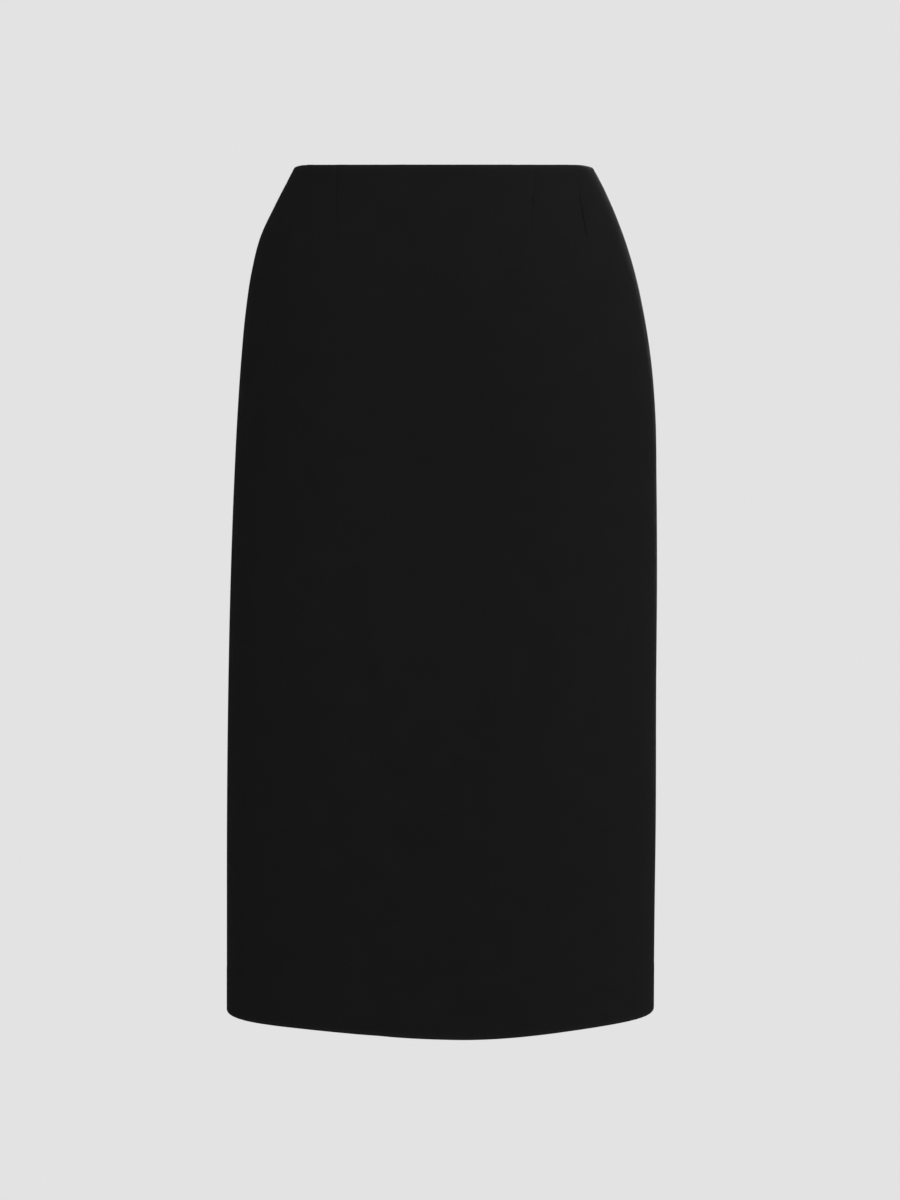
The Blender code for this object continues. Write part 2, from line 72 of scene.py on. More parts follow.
# Level sections of the outer face, in millimetres, as in the solids: half widths to the wearer's left
# and right, half depths to the front and back, and the power of the superellipse.
Section = namedtuple("Section", "drop left right front back squareness")
SECTIONS = (
    Section(0, 125.0, 125.0, 97.0, 97.0, 2.05),
    Section(15, 133.5, 133.0, 101.0, 100.0, 2.05),
    Section(35, 143.0, 143.5, 106.5, 103.5, 2.05),
    Section(60, 153.0, 155.5, 112.0, 108.5, 2.08),
    Section(90, 162.5, 163.5, 116.5, 115.5, 2.10),
    Section(125, 170.5, 169.0, 118.5, 124.0, 2.12),
    Section(165, 177.0, 173.0, 118.0, 131.5, 2.15),
    Section(210, 181.0, 176.5, 116.5, 135.0, 2.15),
    Section(270, 182.5, 180.0, 116.0, 134.5, 2.15),
    Section(350, 183.5, 183.5, 117.0, 131.5, 2.15),
    Section(450, 183.5, 186.5, 119.0, 127.5, 2.12),
    Section(560, 184.0, 188.5, 120.5, 123.5, 2.10),
    Section(660, 183.5, 189.5, 121.5, 120.5, 2.05),
    Section(729, 183.5, 190.0, 122.0, 119.0, 2.05),
)

# Folds, each a trough (or a ridge, where the depth is negative) along a line on the cloth: angles round
# from the centre front in degrees, drops and depths in millimetres. The first group is in the solids too.
Fold = namedtuple("Fold", "top_angle top_drop end_angle end_drop half_width depth")
FOLDS = (
    Fold(0, 440, 4, 760, 13, 3.0),         # between the legs, down to the hem
    Fold(-40, 270, -10, 640, 9, 1.8),
    Fold(34, 330, 22, 600, 8, -1.2),
    Fold(180, 250, 178, 520, 20, 4.0),     # hollow below the seat
    Fold(150, 300, 160, 560, 9, 1.6),
    Fold(214, 280, 200, 600, 10, 1.6),
)
SOFT_FOLDS = (
    Fold(-30, 500, -18, 800, 8, 0.9),      # lower right of the front, beside the hollow
    Fold(-62, 430, -48, 770, 9, 0.8),
    Fold(12, 300, 6, 420, 9, -0.7),        # two faint swells over the left thigh
    Fold(25, 310, 23, 410, 7, -0.7),
    Fold(58, 420, 50, 760, 10, 0.8),
    Fold(74, 160, 66, 420, 9, 0.6),        # drag from each hip
    Fold(-74, 170, -60, 400, 9, 0.6),
    Fold(108, 190, 126, 470, 10, 0.9),     # from each side seam in under the seat
    Fold(252, 190, 234, 480, 10, 0.9),
    Fold(200, 470, 188, 760, 9, 1.0),      # beside the vent
    Fold(162, 480, 171, 760, 8, 0.8),
    Fold(136, 480, 130, 770, 10, 0.8),
    Fold(226, 500, 232, 770, 10, 0.8),
)
FOLD_FADE = 1 / 3               # share of a fold's length over which each end fades out

# Waist and hem lines, as in the solids. The hem's terms say how much lower than LENGTH it hangs, in
# millimetres, as multiples of powers of the angle's sine.
WAIST_DIP = 2.5 * MM            # the upper edge dips this far at each side
WAIST_DIP_REACH = 24            # degrees to each side of SIDE_ANGLE
SIDE_ANGLE = 90
SIDE_SEAM_ANGLE = 95            # the side seams lie a little behind the widest place
HemTerm = namedtuple("HemTerm", "power lower")
HEM_LINE = (HemTerm(1, 2.5), HemTerm(2, -4.6), HemTerm(3, -6.5), HemTerm(8, 5.6), HemTerm(20, 1.0),
            HemTerm(21, 1.0))

# Turnings and pressed seams.
WAIST_TURNING = 12 * MM
HEM_TURNING = 40 * MM
TURNED_DEPTH = 2.0 * MM         # of the middle of the turned cloth
PRESSED = 0.6                   # power of sine and cosine in a turned edge; 1 is a circle
SEAM_RADIUS = 0.425 * MM        # of a pressed seam's fold, at the middle of the cloth
SEAM_GAP = -0.04 * MM           # the stitches press the edges together
SEAM_ROLL = 0.22 * MM           # how far a seam's edges roll in
SEAM_ROLL_WIDTH = 4 * MM
SEAM_PUCKER = 0.05 * MM
SEAM_PUCKER_LENGTHS = (23, 9.7)     # of its two waves, in millimetres
SEAM_PUCKER_SHARE = 0.6         # of the second wave in the first
SEAM_PUCKER_REACH = 7 * MM
SIDE_PUCKER_PHASE = 1.0

# Marks that a turning leaves on the outside: a faint step where the hem's ends, and a groove beside each
# turning's edge, where the hand stitches pull.
HEM_STEP = 0.10 * MM
HEM_STEP_LENGTH = 3 * MM
Mark = namedtuple("Mark", "level depth width")
STITCH_MARKS = (Mark(LENGTH - HEM_TURNING - 1.5 * MM, 0.08 * MM, 1.6 * MM),
                Mark(WAIST_TURNING + 1.5 * MM, 0.10 * MM, 2.0 * MM))

# Darts: distances in millimetres from the centre to the stitched line at the waist and at the point,
# and to the line that runs on from it where that meets the hem; the length; half the cloth taken in; and
# where the stitches pull the cloth into a crease, from one level to another, and how deep it is there on
# the wearer's left. On the wearer's right it is much softer.
Dart = namedtuple("Dart", "waist point hem length intake crease_start crease_end crease")
FRONT_DARTS = (Dart(87, 80, 105, 86, 11, 27, 34, 0.8), Dart(129, 140, 178, 84, 12, 26, 58, 1.5))
BACK_DARTS = (Dart(58, 62, 100, 132, 15, 30, 95, 0.5), Dart(112, 122, 170, 112, 13, 25, 80, 0.5))
DARTS = {FRONT: FRONT_DARTS, LEFT: BACK_DARTS, RIGHT: BACK_DARTS}
DART_GROOVE = 0.25 * MM
DART_GROOVE_WIDTH = 0.8 * MM
DART_GROOVE_FADE = 0.4          # power of the part of a dart's length that is still to come
CREASE_WIDTH = 0.6 * MM
CREASE_ENDS = 6 * MM
CREASE_RIGHT = 0.2              # share of a crease's depth on the wearer's right
DART_DIP = 0.35 * MM
DART_DIP_WIDTH = 4.5 * MM
DART_DIP_FADE = 0.7
DART_RISE = 0.22 * MM           # of the cloth over the pressed intake
DART_RISE_EDGE = 2 * MM
DART_RISE_FADE = 1 / 4          # part of a dart's length over which the rise fades out
DART_PUCKER = 0.06 * MM
DART_PUCKER_LENGTH = 8.5        # of a wave, in millimetres
DART_PUCKER_REACH = 5 * MM
DART_PUCKER_FADE = 1 / 3
INTAKE_DEPTH = 1.2 * MM         # of the middle of the intake's cloth
INTAKE_TOP = 8 * MM
INTAKE_END = 3 * MM             # the pressed intake stops this far above the point
INTAKE_POINTS = (40, 10)        # down and across each half

# Vent and its underlap.
VENT_HEIGHT = 180 * MM
VENT_TOP = LENGTH - VENT_HEIGHT
VENT_WIDTH = 38 * MM
VENT_SLANT = 16 * MM            # the underlap's upper edge slants down by this much
VENT_CUT = 0.3 * MM             # height of the snip above the underlap
LAP_DEPTH = 2.7 * MM
LAP_REACH = 12 * MM             # the right back sinks to the lap over this distance
LAP_SLIP = 2.2 * MM             # how far the right back's seam edge slips under the left's at the vent

# Grid of a panel. Rows are marked down the outside between its folds at the waist and the hem, and columns
# beside each dart and seam and near the centre back, in millimetres. Between marks there are so many cells.
ROW_MARKS = (15, 70, 130, 300, 500, 549, 640, 680, 700)
ROW_CELLS = (11, 22, 20, 40, 40, 12, 20, 14, 10, 12)
WAIST_CELLS = 6                 # down the waist's turning
HEM_CELLS = 13                  # up the hem's
FOLD_CELLS = 10                 # round each fold
DART_MARKS = (-18, -7, -3, -1.3, -0.5, 0.5, 1.3, 3, 7)
SEAM_MARKS = (-10, -4, -1.5, 0)
CENTRE_MARKS = (1.5, 4, 8, 13, 20)
DART_CELLS = (3, 2, 2, 2, 2, 2, 2, 2)
SEAM_CELLS = (7, 3, 2, 2)
FRONT_CELLS = (20, *DART_CELLS, 3, *DART_CELLS, *SEAM_CELLS)
BACK_CELLS = (2, 2, 2, 2, 3, 6, *DART_CELLS, 4, *DART_CELLS, *SEAM_CELLS)
SIDE_ALLOWANCE_CELLS = 5
CENTRE_ALLOWANCE_CELLS = 12

# Wear along the edges, as widths of a bell curve, and how far above the vent it starts there.
# On the crepe it also pales the edges, partly as wear and partly as painted sheen.
EDGE_WEAR = 3 * MM
VENT_WEAR = 2 * MM
VENT_WEAR_START = 5 * MM
RIM_WEAR = 0.3 * MM
WRONG_SIDE_TONE = 0.85          # brightness of the cloth's wrong side

# Stitches. Rises off the cloth are multiples of the thread's radius, from one end of a strand to the other.
EDGE_START = 2 * MM             # overlock keeps this far from the ends of a seam's raw edge,
EDGE_MARGIN = 1.2 * MM          # from those of a turning's,
SNIP_MARGIN = 1.5 * MM          # from the snip at the vent's top,
LAP_MARGINS = (1 * MM, 4 * MM)  # and, on the underlap, from the hem and from the centre back
EDGE_POINTS = (120, 90)         # along a seam's raw edge and a turning's
FACING_POINTS = 200             # along the left back's, which widens to the vent's facing
LAP_POINTS = (60, 20)           # down and across the underlap
OVERLOCK_PARTS = (0.0, 0.33, 0.67, 1.0)     # of the way from the needle's line to the edge
OVERLOCK_RISES = (0.1, 0.85, 0.85, 0.2)
OVERLOCK_SLANT = 0.55           # how much of a stitch's length its strand runs along the edge
OVERLOCK_LAP = 0.1 * MM         # past the edge
LOOP_OUT = 0.12 * MM            # from the edge to the looped thread
LOOP_WEAVE = 0.08 * MM
LOOP_SWELL = 1.1                # thickness of a looped thread over a plain one's
HAND_RISES = (-1, 0.7, 1, 1, 0.7, -1)
HAND_LEAN = 0.35                # share of the pitch by which a hand stitch leans
HAND_STEP = (0.3, 0.4)          # where on its way it steps over the raw edge, and over how much of it
HAND_HEM = (7 * MM, 0.985)      # a stitch's reach, and how much of the panel's width the row takes
HAND_WAIST = (6 * MM, 0.975)
RUN_RISES = (-0.6, 0.5, 0.5, -0.6)
RUN_HALF = 0.36                 # half a running stitch, as a share of the pitch
VENT_PITCH = 4 * MM
VENT_ROW_START = 2.5 * MM       # from the centre back
VENT_ROW_DOWN = 1 * MM          # from the vent's top, and from the facing's edge

# Centre back zip. Depths are below the cloth's outer face.
ZIP_END = 196 * MM
ZIP_DEPTH = 2.5 * MM
TAPE_START = 5 * MM
TAPE_END = 214 * MM
TAPE_NEAR = 1.3 * MM            # its edges' distances from the centre back
TAPE_FAR = 14 * MM
TAPE_THICKNESS = 0.5 * MM
TAPE_POINTS = (106, 15)
TAPE_RIDGE = 0.12 * MM
TAPE_RIDGES = ((TAPE_FAR - 0.9 * MM, 0.8 * MM), (TAPE_NEAR, 1.4 * MM))     # places and widths
TAPE_STITCHES = (6.5 * MM, TAPE_START + 3 * MM, TAPE_END - 4 * MM)     # from the centre, start and end
TAPE_PITCH = 2.6 * MM
COIL_START = 16 * MM
COIL_PITCH = 1.3 * MM
COIL_MIDDLE = 0.72 * MM
COIL_HALF_WIDTH = 0.9 * MM
COIL_HALF_DEPTH = 0.5 * MM
COIL_DEPTH = ZIP_DEPTH + 0.75 * MM
COIL_RADIUS = 0.2 * MM
COIL_POINTS = 10                # round each turn
COIL_SIDES = 5                  # of its wire
CORD_OUT = 1.25                 # the sewn cord's distance and thickness over the coil's
CORD_SWELL = 1.2
CORD_POINTS = 60
CORD_SIDES = 6
STOP_SIZE = (3.8 * MM, 1.8 * MM, 4 * MM)
STOP_GAP = 0.3 * MM
STOP_PINCH = (0.16, 0.7 * MM)   # how much thinner it is crimped, and the crimp's width
SLIDER_DROP = 10 * MM
SLIDER_GAP = 1.5 * MM           # the cloth's edges part this far at the slider's post
SLIDER_GAP_REACH = 4 * MM
SLIDER_BODY = (7 * MM, 2.2 * MM, 10 * MM)
SLIDER_BODY_DEPTH = 5.4 * MM    # to its inner face
SLIDER_TAPER = 0.10
SLIDER_WAIST = (0.10, 0.12, 0.28)   # how much narrower, how far below the middle and how wide, as shares
POST = (1.2 * MM, 5 * MM)
POST_PROUD = 0.3 * MM
STEM_ROOT = 0.4 * MM
STEM_HEIGHT = 0.92              # as a share of the lug's
LUG_RADIUS = 1.3 * MM
LUG_HOLE_RADIUS = 0.8 * MM
PIVOT_HEIGHT = 1.75 * MM        # of the pull's pin, off the cloth
PIN_RADIUS = 0.45 * MM
PIN_POINTS = (5, 20)
CHEEK_WIDTH = 3.8 * MM
CHEEK_GAP = 0.35 * MM           # between the lug and each cheek
CHEEK_ROOT = 0.3 * MM           # how far a cheek runs into the blade
CHEEK_DROP = 0.2 * MM
BOSS_CORE = 0.01 * MM           # the cheeks' rings all but close at their middle
PULL_THICKNESS = 1.2 * MM
PULL_LENGTH = 20 * MM
PULL_WIDTH = 5 * MM
PULL_POINTS = (30, 14, 48)      # down its straight part, down its foot and round
PULL_SQUARENESS = 0.35
RIM_WIDTH = 0.55 * MM
RIM_STEP = 0.35 * MM
RIM_HEIGHT = 0.22               # share of its thickness by which the blade is thinner inside its rim

# Small metal parts: rings and sides of a block, turns and sides of a ring, and the power of sine and cosine
# in their sections, where 1 is round and 0 would be square.
BLOCK_POINTS = (24, 36)
RING_POINTS = (36, 16)
BODY_SQUARENESS = 0.38
POST_SQUARENESS = 0.2
STEM_SQUARENESS = 0.25
LUG_SQUARENESS = 0.45
STOP_SQUARENESS = 0.35
CHEEK_SQUARENESS = 0.25
BOSS_SQUARENESS = 0.3

# Finishes. A scale is lumps or waves to a millimetre of cloth as cut, or to a metre of any other piece; for
# the tape's ribs it is radians to a millimetre. Tones, which are shares of the colour, and roughness run
# from a pattern's low places to its high ones. Relief is the strength and the height of a bump.
# For the crepe, thread and tape the pattern is also the bump's height, so their darker low places and lighter
# high ones are painted shade and painted light.
Look = namedtuple("Look", "scale tones roughness specular relief")
CREPE = Look(1.7, (0.5, 1.5), (0.96, 0.82), 0.02, (0.9, 0.3 * MM))
THREAD = Look(4500.0, (0.6, 1.4), (0.7, 0.45), 0.08, (0.4, 0.05 * MM))
TAPE = Look(8.5, (0.6, 1.4), (0.9, 0.7), 0.05, (0.8, 0.1 * MM))
NYLON = Look(1500.0, (0.8, 1.2), (0.32, 0.5), 0.4, None)
METAL = Look(350.0, (0.7, 1.3), (0.32, 0.5), 0.3, (0.2, 0.03 * MM))
CREPE_THREADS = (0.62, 0.55)    # scales of the threads across and down
CREPE_CLOUDS = 0.035            # scale of the slow changes of shade
THREAD_HEIGHT = 0.45            # of the threads, beside the grain's 1
# Height lightens the tops of the grain and threads and darkens their low places, as painted light and shade;
# clouds are random tone; wear pales the edges, partly as wear and partly as painted sheen.
PAINTED_RELIEF_SHADE = 0.5              # how much height, clouds and wear lighten the crepe
CLOUD_SHADE = 0.12
WEAR_AND_SHEEN_SHADE = 0.25
DARKEST_SHADE = 0.2             # shade up to which the crepe is darkest
WEAR_GLOSS = 0.12               # how much less rough worn crepe is
TAPE_CHEVRON = 1.8              # width of a row of its chevrons, in millimetres
PEEL_SCALE = 2200.0             # of the enamel's orange peel
RUBBED = (0.25, 0.65)           # wear, times the pattern, at which enamel starts to pale and has paled
RUBBED_TONE = 3.5

# Tables for turning arc lengths into angles.
ARC_SAMPLES = 721
ARC_SPAN = math.radians(125)
TABLE_LEVELS = np.linspace(-10 * MM, 770 * MM, 157)
TABLE_ARCS = np.linspace(-320 * MM, 320 * MM, 321)
SLOPE_STEP = 1e-4

# Studio: lengths in metres, angles in degrees, the lens in millimetres and the lamps' power in watts.
CAMERA_DISTANCE = 3.0
CAMERA_TURN = 5.0               # round from straight in front
CAMERA_TILT = 7.073             # down
CAMERA_YAW = -0.1085            # sets the skirt a little to one side
CAMERA_LENS = 105.34
SENSOR_WIDTH = 36.0
CLIP_RANGE = (0.1, 50.0)
FLOOR_HEIGHT = -1.06
COVE_FLAT = (0.2, 2.0)          # radii of the floor's rings
COVE_START = 4.6                # radius at which it starts to curve up
COVE_CURVE = 1.4
COVE_HEIGHT = 7.0
COVE_POINTS = (12, 96)          # up the curve and round
AMBIENT = 0.46
Softbox = namedtuple("Softbox", "name place target size power")
SOFTBOXES = (
    Softbox("key", (2.85, 0.5, 0.55), (0.0, 0.0, -0.35), (1.2, 1.8), 43),
    Softbox("front", (0.3, -3.2, 0.9), (0.0, 0.0, -0.35), (1.8, 1.8), 65),
    Softbox("top", (0.3, -0.2, 2.2), (0.0, 0.0, 0.0), (1.6, 1.2), 4),
    Softbox("back", (0.2, 3.0, 0.5), (0.0, 0.0, -0.35), (1.4, 2.0), 110),
)


def smooth_step(value):
    """0 below 0, 1 above 1, and a soft S between them: 3 v squared less 2 v cubed."""
    value = np.clip(value, 0.0, 1.0)
    return value * value * (3 - 2 * value)


def soft_edge(value, width):
    """A soft S from 0 to 1 of a given width, with its middle at 0."""
    return smooth_step(value / width + 0.5)


def bell(away, width):
    """A bell curve: e to the power of minus the square of away over width."""
    return np.exp(-(away / width)**2)


def wave(level, length, phase=0.0):
    """A sine wave down the cloth, of a length in millimetres."""
    return np.sin(level / MM * 2 * math.pi / length + phase)


def signed_power(value, power):
    """A power of a number's size with its sign kept."""
    return np.sign(value) * np.abs(value)**power


def section_value(name, drop):
    """A smooth curve through one column of SECTIONS: a cubic Hermite whose slope at each row is the
    mean of the slopes to its neighbours, each weighted by the other's distance."""
    rows = np.array([section.drop for section in SECTIONS]) * MM
    values = np.array([getattr(section, name) for section in SECTIONS], dtype=float)
    gaps = np.diff(rows)
    rises = np.diff(values) / gaps
    slopes = np.empty_like(values)
    slopes[1:-1] = (rises[:-1] * gaps[1:] + rises[1:] * gaps[:-1]) / (gaps[1:] + gaps[:-1])
    slopes[0] = rises[0] + (rises[0] - slopes[1]) / 2
    slopes[-1] = rises[-1] + (rises[-1] - slopes[-2]) / 2
    row = np.clip(np.searchsorted(rows, drop, side="right") - 1, 0, len(gaps) - 1)
    part = (drop - rows[row]) / gaps[row]
    return ((2 * part**3 - 3 * part**2 + 1) * values[row]
            + (part**3 - 2 * part**2 + part) * gaps[row] * slopes[row]
            + (3 * part**2 - 2 * part**3) * values[row + 1]
            + (part**3 - part**2) * gaps[row] * slopes[row + 1])


def fold_depth(folds, angle, drop):
    """How far folds sink the cloth: each is a cosine bell across its line, and fades at its ends."""
    total = np.zeros(np.broadcast(angle, drop).shape)
    for fold in folds:
        along = (drop / MM - fold.top_drop) / (fold.end_drop - fold.top_drop)
        line = np.radians(fold.top_angle + (fold.end_angle - fold.top_angle) * along)
        away = (angle - line + math.pi) % (2 * math.pi) - math.pi
        across = np.clip(np.abs(away) / math.radians(fold.half_width), 0, 1)
        ends = smooth_step(along / FOLD_FADE) * smooth_step((1 - along) / FOLD_FADE)
        total += fold.depth * MM * (1 + np.cos(math.pi * across)) / 2 * ends
    return total


def outer_face(angle, drop):
    """The outer face: a superellipse with a half axis for each quarter, less the folds."""
    sine, cosine = np.sin(angle), np.cos(angle)
    wide = np.where(sine >= 0, section_value("left", drop), section_value("right", drop)) * MM
    deep = np.where(cosine >= 0, section_value("front", drop), section_value("back", drop)) * MM
    power = section_value("squareness", drop)
    radius = (np.abs(sine / wide)**power + np.abs(cosine / deep)**power)**(-1 / power)
    radius = radius - fold_depth(FOLDS, angle, drop)
    return np.stack([radius * sine, -radius * cosine, -drop * np.ones_like(radius)], axis=-1)


def face_normal(angle, drop):
    """The unit normal of the outer face, from its slopes down and across."""
    down = outer_face(angle, drop + SLOPE_STEP) - outer_face(angle, drop - SLOPE_STEP)
    across = outer_face(angle + SLOPE_STEP, drop) - outer_face(angle - SLOPE_STEP, drop)
    normal = np.cross(down, across)
    return normal / np.linalg.norm(normal, axis=-1, keepdims=True)


def running_lengths(angles):
    """Length round from the first of some angles to each of them, for each of TABLE_LEVELS: that of a
    fine polyline on the level section."""
    level, angle = np.meshgrid(TABLE_LEVELS, angles, indexing="ij")
    steps = np.linalg.norm(np.diff(outer_face(angle, level), axis=1), axis=2)
    return np.concatenate([np.zeros((len(TABLE_LEVELS), 1)), np.cumsum(steps, axis=1)], axis=1)


@lru_cache(maxsize=None)
def angle_table(centre):
    """The angle at each of TABLE_ARCS from a centre line, for each of TABLE_LEVELS."""
    angles = centre + np.linspace(-ARC_SPAN, ARC_SPAN, ARC_SAMPLES)
    lengths = running_lengths(angles)
    lengths -= lengths[:, ARC_SAMPLES // 2, None]
    return np.stack([np.interp(TABLE_ARCS, row, angles) for row in lengths])


def angle_at(centre, arc, level):
    """The angle at an arc length and level, between the four nearest values of the table."""
    table = angle_table(centre)
    row = (level - TABLE_LEVELS[0]) / (TABLE_LEVELS[1] - TABLE_LEVELS[0])
    column = (arc - TABLE_ARCS[0]) / (TABLE_ARCS[1] - TABLE_ARCS[0])
    first_row = np.clip(row.astype(int), 0, len(TABLE_LEVELS) - 2)
    first_column = np.clip(column.astype(int), 0, len(TABLE_ARCS) - 2)
    row, column = row - first_row, column - first_column
    upper, lower = (table[first_row + down, first_column] * (1 - column)
                    + table[first_row + down, first_column + 1] * column for down in (0, 1))
    return upper * (1 - row) + lower * row


@lru_cache(maxsize=None)
def seam_table(centre, side):
    """Arc length from the centre to the side seam on one side, for each of TABLE_LEVELS."""
    seam = math.radians(SIDE_SEAM_ANGLE if centre == 0 else 180 - SIDE_SEAM_ANGLE)
    return running_lengths(centre + side * np.linspace(0, seam, ARC_SAMPLES))[:, -1]


def seam_distance(panel, side, level):
    """Distance from a panel's centre line to its side seam at a level."""
    return np.interp(level, TABLE_LEVELS, seam_table(CENTRES[panel], side))


def panel_span(panel, level):
    """The arcs at which a panel starts and ends: its side seams, or one of them and the centre back."""
    seams = [side * seam_distance(panel, side, level) for side in SIDES[panel]]
    return min(0.0, *seams), max(0.0, *seams)


def hung_drop(angle, level):
    """The drop of a level as the skirt hangs: near the waist it follows the dips at the sides, and near
    the hem the hem's line."""
    from_side = np.abs(np.abs((angle + math.pi) % (2 * math.pi) - math.pi) - math.radians(SIDE_ANGLE))
    dip = WAIST_DIP * (1 - smooth_step(from_side / math.radians(WAIST_DIP_REACH)))
    hem = sum(term.lower * MM * np.sin(angle)**term.power for term in HEM_LINE)
    return level + dip * (1 - level / LENGTH) + hem * level / LENGTH


def half_opening(level):
    """Half the gap between the backs: a seam's, softly wider where the zip's slider stands."""
    wide = smooth_step(2 - np.abs(level - SLIDER_DROP) / SLIDER_GAP_REACH)
    return (SEAM_GAP + (SLIDER_GAP - SEAM_GAP) * wide) / 2


def in_vent(level, reach):
    """1 in the vent and 0 above it, with a soft S over a reach above its top."""
    return smooth_step((level - VENT_TOP) / reach + 1)


def dart_line(dart, level):
    """Distance from the centre to a dart's stitched line, straight to its point and on to the hem."""
    levels = np.array([0, dart.length, LENGTH / MM]) * MM
    return np.interp(level, levels, np.array([dart.waist, dart.point, dart.hem]) * MM)


def dart_relief(darts, distance, level, on_left):
    """Depth beside the darts: a narrow groove at the stitches and a crease where they pull, a wide soft
    dip, the rise over the intake that is pressed towards the centre, and slight puckers along it."""
    depth = np.zeros(np.broadcast(distance, level).shape)
    for dart in darts:
        to_come = np.clip(1 - level / (dart.length * MM), 0, 1)
        away = distance - dart_line(dart, level)
        depth += DART_GROOVE * to_come**DART_GROOVE_FADE * bell(away, DART_GROOVE_WIDTH)
        pulled = soft_edge(level - dart.crease_start * MM, CREASE_ENDS)
        pulled = pulled * soft_edge(dart.crease_end * MM - level, CREASE_ENDS)
        crease = dart.crease * MM * np.where(on_left, 1.0, CREASE_RIGHT)
        depth += crease * pulled * bell(away, CREASE_WIDTH)
        depth += DART_DIP * to_come**DART_DIP_FADE * bell(away, DART_DIP_WIDTH)
        over = soft_edge(away + dart.intake * MM * to_come, DART_RISE_EDGE)
        over = over * smooth_step(-away / DART_RISE_EDGE)
        depth -= DART_RISE * over * smooth_step(to_come / DART_RISE_FADE)
        pucker = wave(level, DART_PUCKER_LENGTH, dart.waist) * bell(away, DART_PUCKER_REACH)
        depth += DART_PUCKER * pucker * smooth_step(to_come / DART_PUCKER_FADE)
    return depth


def seam_relief(distance, level, phase):
    """Depth beside a pressed seam: its edges roll in, and the cloth puckers slightly along it."""
    roll = SEAM_ROLL * np.clip(1 - distance / SEAM_ROLL_WIDTH, 0, 1)**2
    first, second = SEAM_PUCKER_LENGTHS
    swell = wave(level, first, phase) + SEAM_PUCKER_SHARE * wave(level, second)
    return roll + SEAM_PUCKER * swell * bell(distance, SEAM_PUCKER_REACH)


def relief(panel, arc, angle, level):
    """Extra depth of a panel's cloth: darts, seams, soft folds, the turnings' marks and the underlap."""
    distance = np.abs(arc)
    seam = np.where(arc >= 0, seam_distance(panel, 1, level), seam_distance(panel, -1, level))
    on_left = arc > 0 if panel == FRONT else panel == LEFT
    depth = dart_relief(DARTS[panel], distance, level, on_left)
    depth += seam_relief(seam - distance, level, SIDE_PUCKER_PHASE)
    depth += fold_depth(SOFT_FOLDS, angle, hung_drop(angle, level))
    depth -= HEM_STEP * soft_edge(level - (LENGTH - HEM_TURNING), HEM_STEP_LENGTH)
    for mark in STITCH_MARKS:
        depth += mark.depth * bell(level - mark.level, mark.width)
    if panel == LEFT:
        depth += seam_relief(np.maximum(-arc, 0), level, 0.0)
    if panel == RIGHT:
        sunk = smooth_step(1 - arc / LAP_REACH) * in_vent(level, LAP_REACH)
        depth += LAP_DEPTH * sunk + seam_relief(np.maximum(arc, 0), level, 0.0) * (1 - sunk)
    return depth


def cloth_points(panel, arc, level, depth):
    """Points at a depth below a panel's outer face: the face less depth and relief along its normal."""
    angle = angle_at(CENTRES[panel], arc, level)
    drop = hung_drop(angle, level)
    depth = depth + relief(panel, arc, angle, level)
    return outer_face(angle, drop) - depth[..., None] * face_normal(angle, drop)


def cloth_normals(panel, arc, level):
    """Outward unit normals of the cloth at an arc length and level."""
    angle = angle_at(CENTRES[panel], arc, level)
    return face_normal(angle, hung_drop(angle, level))


def stacked(*values):
    """Numbers and arrays as the layers of one array, each spread to their common shape."""
    return np.stack(np.broadcast_arrays(*values))


def circle(count):
    """So many angles, evenly round a circle."""
    return np.linspace(0, 2 * math.pi, count, endpoint=False)


def points_of(x, y, z):
    """Points from their coordinates, each spread to their common shape."""
    return np.stack(np.broadcast_arrays(x, y, z), axis=-1)


def spread(marks, cells):
    """Columns of a grid: the marks with the intervals between them divided evenly into cells."""
    start = np.repeat(np.arange(len(cells)), cells)
    part = np.concatenate([np.arange(count) / count for count in cells])
    columns = marks[:, start] + (marks[:, start + 1] - marks[:, start]) * part
    return np.concatenate([columns, marks[:, -1:]], axis=1)


# Rows of a panel, from the raw edge of the waist's turning over the waist, down the outside and round the
# hem to the raw edge of its turning, are layers: level, depth, the way to the inside of the cloth's folds
# and whether the cloth is turned there. Its columns are layers too: distance from the centre line, that
# distance as cut, inset from the row's surface, and which of the following kinds a point is.
Rows = namedtuple("Rows", "level depth inward_level inward_depth turned")
OUTER, UNDERLAP, ROUND_SEAM, ALLOWANCE = range(4)
MIRROR = np.array([-1, -1, 1, 1])[:, None, None]


def straight_rows(level, depth, inward, turned):
    """Rows on a straight stretch of the cloth at one depth."""
    return stacked(level, depth, 0.0, inward, turned)


def fold_rows(middle, way, half, radius):
    """Rows round a fold at the waist or hem, from the turned cloth to the outside: half a superellipse,
    whose squareness makes the edge look pressed."""
    turn = np.linspace(0, math.pi, FOLD_CELLS + 1)
    level = middle + way * radius * np.abs(np.sin(turn))**PRESSED
    depth = half + radius * (1 + signed_power(np.cos(turn), PRESSED))
    return stacked(level, depth, -way * np.sin(turn), -np.cos(turn), turn < math.pi)


